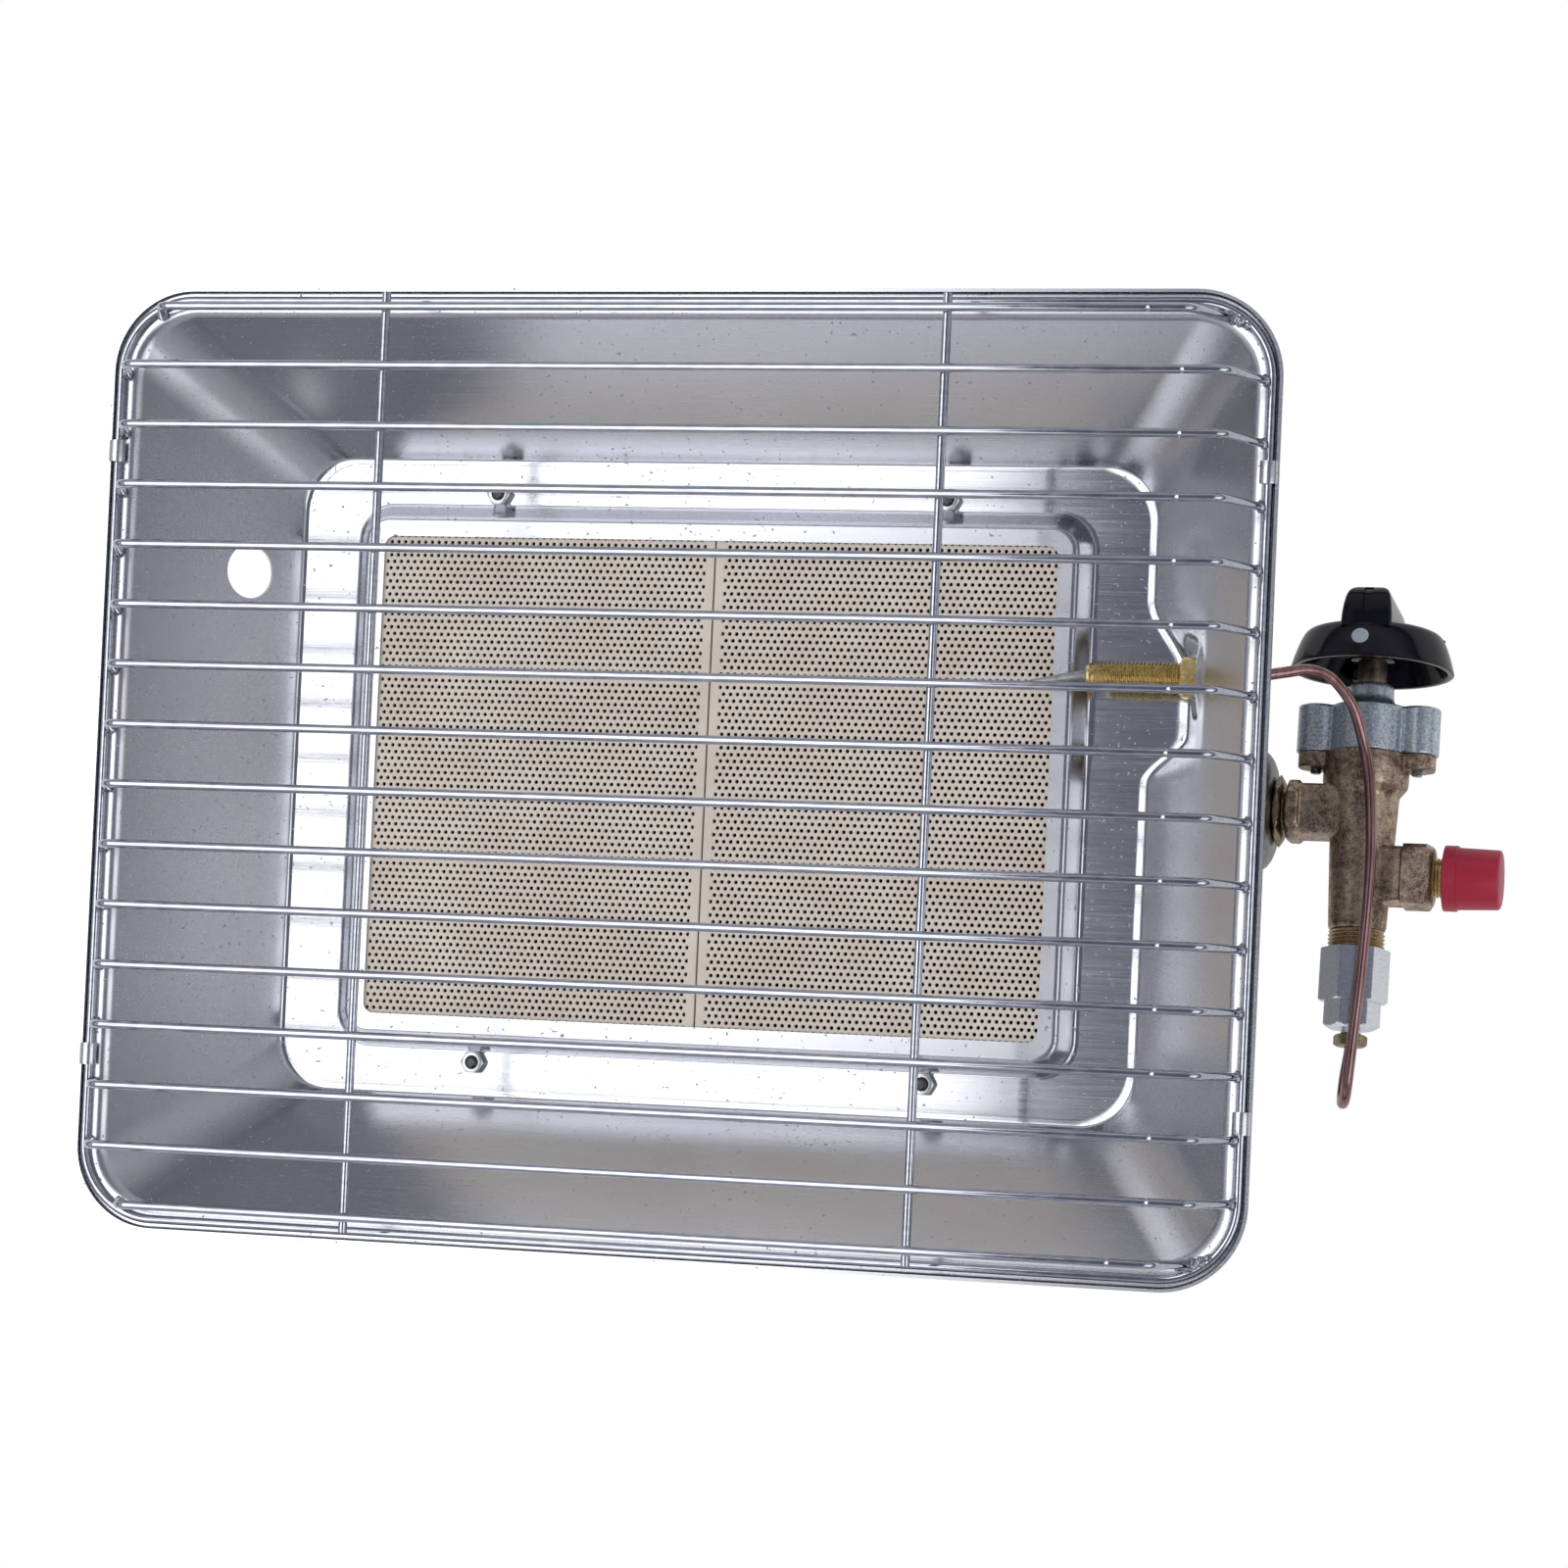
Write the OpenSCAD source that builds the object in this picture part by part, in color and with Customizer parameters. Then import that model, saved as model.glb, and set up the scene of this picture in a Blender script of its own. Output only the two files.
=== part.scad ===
// Portable propane heater: a two-plate infrared burner in a pressed tray under a wire guard,
// with a push-and-turn gas valve at its right side and a flame-failure lead.
// It lies on the flat back of its burner box with the glowing window facing up.
// X runs along the longer side of the tray, Y across it and Z away from the back.

/* [Tray] */
// Length of the tray over its rim
rim_w = 302.8; // [260:0.2:340]
// Width of the tray over its rim
rim_d = 241.2; // [210:0.2:270]
// Corner radius of the rim
rim_r = 21.5; // [12:0.5:40]
// Width of the flat flange round the tray's mouth
flange_w = 6.2; // [4:0.1:12]
// Height of the upturned lip above the flange
rim_lip = 1.7; // [1:0.1:4]
// Depth of the tray, from the flange down to the floor
tray_depth = 43.6; // [30:0.2:60]
// Length of the tray's floor
floor_w = 228.2; // [200:0.2:260]
// Width of the tray's floor
floor_d = 166; // [140:0.2:190]
// Corner radius of the floor
floor_r = 14; // [6:0.5:30]
// Thickness of the pressed sheet
sheet_t = 0.8; // [0.6:0.1:1.2]
// Diameter of the round hole in the left wall
wall_hole_d = 14; // [8:0.5:20]
// How far along Y the round hole sits from the middle
wall_hole_y = 51.5; // [30:0.5:60]
// Height of the round hole's middle above the tray's floor
wall_hole_h = 13.6; // [9:0.1:24]

/* [Window] */
// How far the window's edges lie inside the plates' edges, along X
window_in_x = 2; // [1:0.1:6]
// How far the window's edges lie inside the plates' edges, along Y
window_in_y = 3.5; // [1:0.1:8]
// Corner radius of the window
window_r = 2.8; // [1:0.1:8]
// Height of the raised frame round the window
frame_h = 4.7; // [2:0.1:8]
// Width of the flat lip on top of the raised frame
frame_lip = 4.7; // [3:0.1:8]
// Width that the sloping side of the raised frame takes up
frame_run = 3.8; // [2:0.1:6]
// Distance of the four frame nuts from the middle, along X
nut_x = 60.2; // [50:0.1:80]
// Distance from the foot of the raised frame to the frame nuts' middles
nut_out = 3.2; // [3:0.1:6]

/* [Sensor pocket] */
// How far the pocket pushes the foot of the right wall outward
pocket_push = 9.8; // [4:0.2:14]
// How far the pocket reaches from the sensor's axis toward the inlet
pocket_near = 25.7; // [20:0.1:32]
// How far the pocket reaches from the sensor's axis toward the knob
pocket_far = 20.7; // [20:0.1:32]
// Length of the slope at the pocket's end toward the inlet
pocket_near_run = 12.4; // [6:0.1:18]
// Length of the slope at the pocket's end toward the knob
pocket_far_run = 20; // [6:0.1:20]
// Height above the floor at which the pocket fades into the wall
pocket_top = 24.7; // [18:0.1:34]
// Y of the sensor's axis
sensor_y = 29.3; // [20:0.1:40]
// Height of the sensor's axis above the tray's floor
sensor_h = 13.7; // [9:0.1:20]
// How far the flat seat of the sensor's nuts stands out from the plain wall
seat_push = 5.18; // [3:0.02:7]
// Radius of that flat seat
seat_r = 8.4; // [7:0.1:10]

/* [Burner box] */
// Length of each ceramic plate's short side
plate_w = 91.8; // [80:0.1:100]
// Length of each ceramic plate's long side
plate_d = 132; // [120:0.1:140]
// Thickness of the ceramic plates
plate_t = 13; // [10:0.5:16]
// Gap between the two plates
plate_seam = 0.4; // [0.3:0.1:2]
// Width of the seal beside the plates along X
seal_x = 3; // [2:0.1:6]
// Width of the seal beside the plates along Y
seal_y = 2.5; // [2:0.1:6]
// Width of the ledge that the plates stand on
ledge_w = 6; // [4:0.1:9]
// Distance from the back of the box to the top of the window's lip
box_h = 54; // [45:0.5:70]
// Wall thickness of the burner box
box_wall = 1.5; // [1:0.1:3]
// How far the box's mounting flange reaches beyond the raised frame, along X
box_flange_x = 6.5; // [3:0.1:10]
// How far the box's mounting flange reaches beyond the raised frame, along Y
box_flange_y = 10; // [7:0.1:12]
// Thickness of the box's mounting flange
box_flange_t = 1.2; // [1:0.1:3]
// Outer diameter of the mixing tube
tube_d = 24; // [18:0.5:28]
// How far the mixing tube reaches into the burner box
tube_in = 56.5; // [30:0.5:80]
// Y of the mixing tube's axis
tube_y = -1; // [-6:0.5:6]
// Depth of the mixing tube's axis below the window's lip
tube_drop = 27; // [24:0.5:34]
// Outer diameter of the tube's end cap
tube_cap_d = 31.4; // [28:0.2:36]
// How far the end cap's outer face stays inside the tray's rim
cap_in = 8; // [4:0.1:12]

/* [Guard] */
// Diameter of the guard's wire
wire_d = 2.2; // [1.6:0.1:3]
// Number of full-length guard bars, in two equal groups
bar_count = 14; // [10:2:18]
// Distance between guard bars
bar_pitch = 15.17; // [12:0.01:20]
// Height of the guard bars above the window's lip
bar_z = 57.5; // [50:0.1:70]
// How far inside the hoop a guard bar's straight stretch ends
bar_in = 11.2; // [9:0.1:18]
// Angle by which the ends of a guard bar turn down
bar_turn = 69.5; // [50:0.5:85]
// Length of the sloping leg at each end of a bar
bar_leg = 15.9; // [12:0.1:24]
// Inside bend radius of the bars, measured at the wire's middle
bend_r = 4; // [3:0.5:8]
// Distance of the two end bars from the hoop's long sides
end_bar_gap = 4.2; // [3:0.1:8]
// How far inside the hoop an end bar's straight stretch ends
end_bar_in = 20.1; // [18:0.1:26]
// Distance of the two cross ties from the middle
tie_x = 71.8; // [50:0.1:90]
// How far inside the hoop's long sides a cross tie ends
tie_in = 0.5; // [0:0.1:4]
// Corner radius of the hoop
hoop_r = 19; // [12:0.5:30]

/* [Valve] */
// Distance from the end cap's outer face to the valve's main axis
valve_reach = 22.4; // [20:0.1:28]
// Distance from the valve's main axis to the end of its outlet
outlet_end = 19.2; // [17:0.1:20]
// Angle by which the knob's end of the valve leans toward the back
valve_lean = 7.5; // [0:0.5:15]
// Diameter of the knob at its mouth
knob_d = 41.2; // [30:0.2:50]
// Travel of the knob when it is pressed
knob_travel = 4; // [2:0.5:4]
// Diameter of the valve's spindle
spindle_d = 7.4; // [6:0.1:8]
// Diameter of the taper plug that the spindle turns
plug_d = 10; // [8:0.1:12]
// Across-flats size of the flame-failure magnet's hexagon
magnet_af = 15.2; // [14:0.1:19]
// Diameter of the thread between the valve body and the magnet
magnet_thread_d = 14.3; // [12:0.1:16]
// Across-flats size of the inlet's square end
inlet_af = 15.2; // [14:0.1:17]
// Distance of the inlet's axis from the outlet's axis
inlet_drop = 15.8; // [12:0.1:20]
// Diameter of the inlet's thread
inlet_thread_d = 13.16; // [12:0.01:14]
// Outer diameter of the inlet's dust cap
dust_cap_d = 15.6; // [15:0.1:18]

/* [Lead] */
// Diameter of the copper lead
lead_d = 2.8; // [2:0.1:3.2]
// Diameter of the sensor's threaded bushing
bushing_d = 7.8; // [7:0.1:8]
// Across-flats size of the sensor's two nuts
sensor_af = 10; // [9:0.5:13]

/* [Fits] */
// Radial gap between a turning or sliding piece and its guide
run_gap = 0.05; // [0.01:0.01:0.1]
// Radial gap between a fixed pin and its hole
pin_gap = 0.02; // [0.01:0.01:0.05]
// Depth by which welded wires sink into each other
weld_sink = 0.02; // [0.01:0.01:0.05]

/* [Hidden] */

window_w = 2 * plate_w + plate_seam - 2 * window_in_x;
window_d = plate_d - 2 * window_in_y;
foot_w = window_w / 2 + frame_lip + frame_run;
foot_d = window_d / 2 + frame_lip + frame_run;
wire_r = wire_d / 2;
floor_z = -frame_h;
flange_z = floor_z + tray_depth;
lip_z = flange_z + rim_lip;
wall_w = rim_w / 2 - flange_w;
wall_d = rim_d / 2 - flange_w;
hoop_z = flange_z + wire_r;
hoop_w = rim_w / 2 - 2.5;
hoop_d = rim_d / 2 - 3.1;
wall_slope_x = (wall_w - floor_w / 2) / tray_depth;
wall_slope_y = (wall_d - floor_d / 2) / tray_depth;
wall_turn = atan(1 / wall_slope_x);
sensor_z = floor_z + sensor_h;
seat_x = floor_w / 2 + wall_slope_x * sensor_h + seat_push;
pocket_y0 = sensor_y - pocket_near;
pocket_y1 = sensor_y + pocket_far;
tube_z = -tube_drop;
plate_z = -sheet_t - 0.05;
ledge_z = plate_z - plate_t;
box_w = 2 * (plate_w + seal_x + box_wall) + plate_seam;
box_d = plate_d + 2 * (seal_y + box_wall);
box_z = -box_h;
box_top = floor_z - sheet_t;
nut_y = foot_d + nut_out;
cap_x = rim_w / 2 - cap_in;
valve_x = cap_x + valve_reach;
cap_end = 35.4;
mid_x = (valve_x + cap_end - rim_w / 2) / 2;
spindle_r = spindle_d / 2;
spindle_flat = spindle_r - 1;
plug_r = plug_d / 2;
dot_r = 2.15;
jet_r = 4.98;
// Radius of the round hole under each frame screw.
screw_hole_r = 1.6;
// Distance of the cover's two screws from the spindle.
ear_x = 12.8;
// Place along the spindle of the flange's seat, the cover's top and the end of its neck.
flange_y = 11.3;
cover_y = 15.1;
cover_top = 27.4;
neck_end = 33.2;
// Distance from the valve's main axis to the seat of the inlet's square end.
inlet_seat = 11.1;
// Place along the spindle of the plug's top.
plug_top = 7.4;
// Shift of the tray's underside from its upper side on the walls, outward and down.
UNDER_OUT = 0.65;
UNDER_DOWN = 0.46;

// Turn of the magnet unit's flats about its own axis.
MAGNET_TURN = 10;
// Corner steps of every rounded outline.
CORNER = 8;
// Angle by which a bend runs on inside the straight wires that it joins.
BEND_OVER = 1.5;
// How much the wire draws thinner in a bend.
BEND_THIN = 0.01;
// How far in from the rim's corner each of the four tabs sits, along Y.
TAB_IN = [42, 44.5, 44.2, 41.3];
// Y of the tray's grid lines across the sensor pocket, from the sensor's axis.
POCKET_Y = [-28.3, -24.3, -20.3, -16.3, -12.3, -9.5, -6.8, -3.8, 0, 3.8, 6.8, 9.5, 12.3, 15.7, 19.7, 23.7];
// Heights of the tray's grid lines above its floor, from the sensor's axis.
WALL_H = [-10.7, -9, -6.8, -3.7, 0, 3.7, 6.8, 9, 11.3, 20.3];

// Points along the copper lead's middle, from the bushing to the magnet.
LEAD = [
  [seat_x + 1.95, sensor_y, sensor_z], [seat_x + 6.95, sensor_y, sensor_z], [142, 30, 8.5],
  [149, 31.5, 6], [155, 32.6, 2.5], [160, 31, -1.5],
  [164.5, 25, -6.5], [167, 17, -9.5], [169, 8, -10], [170.2, -6, -9.5], [170.3, -20, -8.8],
  [169.3, -42, -7.5], [168, -60, -6.2], [167.3, -68.4, -6.4], [166.5, -72.6, -8.9],
  [valve_x - 0.3, -74, -12.6], [valve_x - 0.9, -72.2, -16.2], [valve_x - 0.7, -67, -18],
  [valve_x, -60.8, -19.1], [valve_x, -56.5, -19.7]
];

// Puts the window's middle, at the height of its lip, over the part's own origin.
module stand() {
  translate([-mid_x, 0, box_h])
    children();
}

// A frame on the valve: X along the outlet, Y along the spindle toward the knob.
module on_valve() {
  translate([valve_x, tube_y, tube_z])
    rotate([-valve_lean, 0, 0])
      children();
}

// Lets a shape drawn along Z lie along the valve's spindle.
module along_spindle(y = 0) {
  on_valve()
    translate([0, y, 0])
      rotate([-90, 0, 0])
        children();
}

// Lets a shape drawn along Z lie along X.
module along_x() {
  rotate([0, 90, 0])
    children();
}

function corner_points(cx, cy, r, start) =
  [for (i = [0 : CORNER]) [cx + r * cos(start + 90 * i / CORNER), cy + r * sin(start + 90 * i / CORNER)]];

// A rounded rectangle of half sizes hx and hy, with grid points on its right side at the given Y.
function outline(hx, hy, r, side = []) = concat(
  [for (y = side) [hx, y]],
  corner_points(hx - r, hy - r, r, 0),
  corner_points(r - hx, hy - r, r, 90),
  corner_points(r - hx, r - hy, r, 180),
  corner_points(hx - r, r - hy, r, 270)
);

module slab(hx, hy, r, z0, z1) {
  translate([0, 0, z0])
    linear_extrude(z1 - z0)
      polygon(outline(hx, hy, r));
}

module hexagon(af, h) {
  cylinder(d = af / cos(30), h = h, $fn = 6);
}

// A square bar with its four long edges cut at 45 degrees.
module cut_square(half, cut, h) {
  linear_extrude(h)
    polygon([
      for (a = [0 : 90 : 270], p = [[half, cut - half], [half, half - cut]])
        [p[0] * cos(a) - p[1] * sin(a), p[0] * sin(a) + p[1] * cos(a)]
    ]);
}

function ramp(t) = let(u = max(0, min(1, t))) u * u * (3 - 2 * u);

// Share of the pocket's full depth at a given Y.
function pocket_share(y) =
  ramp((y - pocket_y0) / pocket_near_run) * (1 - ramp((y - pocket_y1 + pocket_far_run) / pocket_far_run));

// How far the right wall is pushed out at a given Y and height above the floor.
function pocket_shift(y, h) =
  let(
    slope = wall_slope_x * h,
    push = pocket_push * pocket_share(y) * max(0, 1 - h / pocket_top),
    flat = 1 - ramp((norm([y - sensor_y, h - sensor_h]) - seat_r) / 2.7)
  )
  push + flat * (seat_x - floor_w / 2 - slope - push);

// One closed line of the tray: half sizes, corner radius, Z, height in the pocket (below 0: none).
function tray_line(hx, hy, r, z, h) =
  let(side = [for (y = POCKET_Y) sensor_y + y])
  [
    for (p = outline(hx, hy, r, side))
      let(plain = h < 0 || p[0] < hx || p[1] < side[0] || p[1] > side[len(side) - 1])
      [p[0] + (plain ? 0 : pocket_shift(p[1], h)), p[1], z]
  ];

function wall_line(h, out, down) =
  tray_line(
    floor_w / 2 + wall_slope_x * h + out,
    floor_d / 2 + wall_slope_y * h + out,
    floor_r + (rim_r - flange_w - floor_r) * h / tray_depth + out,
    floor_z + h - down,
    h
  );

// The lines of the tray's section, over the top from the window to the rim and back underneath.
function tray_lines() = concat(
  [
    tray_line(window_w / 2, window_d / 2, window_r, 0, -1),
    tray_line(window_w / 2 + frame_lip, window_d / 2 + frame_lip, window_r + 3, 0, -1),
    tray_line(foot_w, foot_d, window_r + 6.7, floor_z, -1),
    wall_line(0, 0, 0)
  ],
  [for (h = WALL_H) wall_line(sensor_h + h, 0, 0)],
  [
    tray_line(wall_w, wall_d, rim_r - flange_w, flange_z, -1),
    tray_line(rim_w / 2 - sheet_t, rim_d / 2 - sheet_t, rim_r - sheet_t, flange_z, -1),
    tray_line(rim_w / 2 - sheet_t, rim_d / 2 - sheet_t, rim_r - sheet_t, lip_z, -1),
    tray_line(rim_w / 2, rim_d / 2, rim_r, lip_z, -1),
    tray_line(rim_w / 2, rim_d / 2, rim_r, flange_z - sheet_t, -1),
    tray_line(wall_w + 0.4, wall_d + 0.4, rim_r - flange_w + 0.4, flange_z - sheet_t, -1)
  ],
  [for (i = [len(WALL_H) - 1 : -1 : 0]) wall_line(sensor_h + WALL_H[i], UNDER_OUT, UNDER_DOWN)],
  [
    wall_line(0, 0.4, sheet_t),
    tray_line(foot_w - 0.4, foot_d - 0.4, window_r + 6.3, floor_z - sheet_t, -1),
    tray_line(window_w / 2 + frame_lip - 0.4, window_d / 2 + frame_lip - 0.4, window_r + 2.6, -sheet_t, -1),
    tray_line(window_w / 2, window_d / 2, window_r, -sheet_t, -1)
  ]
);

module pressed_sheet() {
  lines = tray_lines();
  rows = len(lines);
  cols = len(lines[0]);
  polyhedron(
    points = [for (line = lines) each line],
    faces = [
      for (i = [0 : rows - 1], j = [0 : cols - 1])
        let(
          a = i * cols + j,
          b = i * cols + (j + 1) % cols,
          c = ((i + 1) % rows) * cols + (j + 1) % cols,
          d = ((i + 1) % rows) * cols + j
        )
        each [[a, b, c], [a, c, d]]
    ]
  );
}

// A tab of the rim folded over the hoop.
module rim_tab(side, y) {
  translate([side * hoop_w, y, hoop_z])
    scale([side, 1, 1])
      rotate([90, 0, 0])
        rotate([0, 0, -8])
          rotate_extrude(angle = 160, $fn = 48)
            translate([wire_r + 0.65, -2.75])
              square([0.65, 5.5]);
}

module tray() {
  color([0.62, 0.63, 0.66])
  stand()
    difference() {
      union() {
        pressed_sheet();
        for (i = [0 : 3])
          rim_tab(i < 2 ? -1 : 1, (i % 2 == 0 ? 1 : -1) * (rim_d / 2 - TAB_IN[i]));
      }
      translate([-floor_w / 2 - wall_slope_x * wall_hole_h, wall_hole_y, floor_z + wall_hole_h])
        rotate([0, wall_turn, 0])
          cylinder(d = wall_hole_d, h = 12, center = true, $fn = 48);
      translate([seat_x - 4, sensor_y, sensor_z])
        along_x()
          cylinder(d = bushing_d + 0.3, h = 8, $fn = 48);
      for (x = [-nut_x, nut_x], y = [-nut_y, nut_y])
        translate([x, y, floor_z - 3])
          cylinder(r = screw_hole_r, h = 6, $fn = 24);
    }
}

module burner_box() {
  inside_w = box_w / 2 - box_wall;
  inside_d = box_d / 2 - box_wall;
  color([0.45, 0.46, 0.48])
  stand()
    difference() {
      union() {
        slab(box_w / 2, box_d / 2, 8, box_z, box_top);
        slab(foot_w + box_flange_x, foot_d + box_flange_y, 6, box_top - box_flange_t, box_top);
      }
      slab(inside_w, inside_d, 6.5, ledge_z, box_top + 1);
      slab(inside_w - ledge_w - 1, inside_d - ledge_w, 5, box_z + 2 * box_wall, ledge_z + 1);
      slab(inside_w, inside_d, 6.5, box_z + 2 * box_wall, ledge_z - box_wall);
      slab(box_w / 2 - 10, box_d / 2 - 10, 5, box_z - 1, box_z + 0.5);
      translate([box_w / 2 - 20, tube_y, tube_z])
        along_x()
          cylinder(r = tube_d / 2 + pin_gap, h = 30, $fn = 64);
      for (x = [-nut_x, nut_x], y = [-nut_y, nut_y])
        translate([x, y, box_top - 3])
          cylinder(r = screw_hole_r, h = 6, $fn = 24);
    }
}

module plate_seal() {
  color([0.86, 0.85, 0.82])
  stand()
    difference() {
      slab(box_w / 2 - box_wall - 0.1, box_d / 2 - box_wall - 0.1, 6.4, ledge_z, plate_z - 2);
      slab(plate_seam / 2 + plate_w, plate_d / 2, 0.5, ledge_z - 1, 0);
    }
}

module plate(side) {
  color([0.88, 0.8, 0.7])
  stand()
    translate([side * (plate_seam + plate_w) / 2, 0, 0]) {
      slab(plate_w / 2 - 0.02, plate_d / 2 - 0.02, 0.5, ledge_z, plate_z);
    }
}

module plate_left() {
  plate(-1);
}

module plate_right() {
  plate(1);
}

module frame_screws() {
  color([0.6, 0.61, 0.63])
  stand()
    for (x = [-nut_x, nut_x], y = [-nut_y, nut_y])
      translate([x, y, 0])
        difference() {
          union() {
            translate([0, 0, box_top - box_flange_t - 2])
              cylinder(r = 2.75, h = 2, $fn = 32);
            translate([0, 0, box_top - 2])
              cylinder(r = 1.5, h = 6, $fn = 32);
          }
          translate([0, 0, box_top - box_flange_t - 2.2])
            cylinder(r = 1.2, h = 1.2, $fn = 6);
        }
}

module frame_nuts() {
  color([0.66, 0.67, 0.69])
  stand()
    for (x = [-nut_x, nut_x], y = [-nut_y, nut_y])
      translate([x, y, floor_z])
        difference() {
          hexagon(5.5, 2.4);
          translate([0, 0, -1])
            cylinder(r = 1.5 + pin_gap, h = 5, $fn = 32);
        }
}

// A frame on the mixing tube's axis: Z runs along the tube, from the end cap's outer face outward.
module on_tube() {
  translate([cap_x, tube_y, tube_z])
    along_x()
      children();
}

module mixing_tube() {
  tube_r = tube_d / 2;
  collar_r = tube_cap_d / 2 - 1.3;
  inner_end = box_w / 2 - tube_in - cap_x;
  color([0.5, 0.5, 0.52])
  stand()
    on_tube()
      difference() {
        rotate_extrude($fn = 64)
          polygon([
            [tube_r - 1.5, inner_end], [tube_r, inner_end], [tube_r, -10.9], [collar_r, -10.9],
            [collar_r, -9.4], [tube_r, -9.4], [tube_r, -7.4], [tube_r - 1.5, -7.4]
          ]);
        for (a = [45, 135])
          translate([0, 0, -28.4])
            rotate([0, 0, a])
              rotate([90, 0, 0])
                cylinder(d = 10, h = tube_d + 16, center = true, $fn = 48);
      }
}

module tube_cap() {
  rim = tube_cap_d / 2;
  bore = jet_r + pin_gap;
  color([0.72, 0.72, 0.75])
  stand()
    on_tube()
      rotate_extrude($fn = 72)
        polygon([
          [rim - 1.25, -12.4], [rim, -12.4], [rim, -5], [rim - 0.4, -3.4], [rim - 1.6, -1.9],
          [rim - 3.8, -0.7], [9, 0], [bore, 0], [bore, -1.2], [9, -1.2], [rim - 4.4, -2],
          [rim - 2.6, -3], [rim - 1.6, -4.1], [rim - 1.25, -5.4]
        ]);
}

module jet_holder() {
  tip = valve_reach - outlet_end;
  color([0.78, 0.62, 0.3])
  stand()
    on_tube()
      rotate_extrude($fn = 48)
        polygon([
          [0.5, -13.4], [2.2, -13.4], [4.2, -10.4], [4.2, -2.8], [7.2, -2.8], [7.2, -1.2], [jet_r, -1.2],
          [jet_r, 2.6], [4, 2.6], [4, tip], [1.5, tip], [1.5, -11.4], [0.5, -11.9]
        ]);
}

module lock_nut() {
  color([0.76, 0.62, 0.32])
  stand()
    on_tube()
      difference() {
        rotate([0, 0, 30])
          hexagon(16, 2.2);
        translate([0, 0, -1])
          cylinder(r = jet_r + pin_gap, h = 6, $fn = 48);
      }
}

// A quarter of the hoop's corner, turned to start at the given angle.
module hoop_corner(sx, sy, start) {
  translate([sx * (hoop_w - hoop_r), sy * (hoop_d - hoop_r), hoop_z])
    rotate([0, 0, start])
      rotate_extrude(angle = 90, $fn = 48)
        translate([hoop_r, 0])
          circle(r = wire_r, $fn = 14);
}

module guard_hoop() {
  color([0.8, 0.81, 0.84])
  stand() {
    for (s = [-1, 1]) {
      translate([s * hoop_w, hoop_r - hoop_d, hoop_z])
        rotate([-90, 0, 0])
          cylinder(r = wire_r, h = 2 * (hoop_d - hoop_r), $fn = 14);
      translate([hoop_r - hoop_w, s * hoop_d, hoop_z])
        along_x()
          cylinder(r = wire_r, h = 2 * (hoop_w - hoop_r), $fn = 14);
    }
    hoop_corner(1, 1, 0);
    hoop_corner(-1, 1, 90);
    hoop_corner(-1, -1, 180);
    hoop_corner(1, -1, 270);
  }
}

// A bar of the guard: a straight wire with both ends bent down beside the hoop.
module guard_bar(half, y) {
  translate([-half, y, bar_z])
    along_x()
      cylinder(r = wire_r, h = 2 * half, $fn = 14);
  for (s = [0, 1])
    mirror([s, 0, 0])
      translate([half, y, bar_z - bend_r])
        rotate([90, 0, 0])
          rotate([0, 0, 90 - bar_turn]) {
            rotate([0, 0, -BEND_OVER])
              rotate_extrude(angle = bar_turn + 2 * BEND_OVER, $fn = 24)
                translate([bend_r, 0])
                  circle(r = wire_r - BEND_THIN, $fn = 14);
            translate([bend_r, 0, 0])
              rotate([90, 0, 0])
                cylinder(r = wire_r, h = bar_leg, $fn = 14);
          }
}

module guard_bars() {
  color([0.8, 0.81, 0.84])
  stand()
    for (i = [0 : bar_count / 2 - 1], s = [-1, 1])
      guard_bar(hoop_w - bar_in, s * bar_pitch * (i + 0.5));
}

module guard_end_bars() {
  color([0.8, 0.81, 0.84])
  stand()
    for (s = [-1, 1])
      guard_bar(hoop_w - end_bar_in, s * (hoop_d - end_bar_gap));
}

module guard_ties() {
  color([0.8, 0.81, 0.84])
  stand()
    for (s = [-1, 1])
      translate([s * tie_x, tie_in - hoop_d, bar_z - wire_d + weld_sink])
        rotate([-90, 0, 0])
          cylinder(r = wire_r, h = 2 * (hoop_d - tie_in), $fn = 14);
}

// Outline shared by the valve's flange and cover: a round middle with an ear at each side.
module eared(mid_r, ear_x, ear_r, web) {
  circle(r = mid_r, $fn = 64);
  square([2 * ear_x, web], center = true);
  for (s = [-1, 1])
    translate([s * ear_x, 0])
      circle(r = ear_r, $fn = 48);
}

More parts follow.
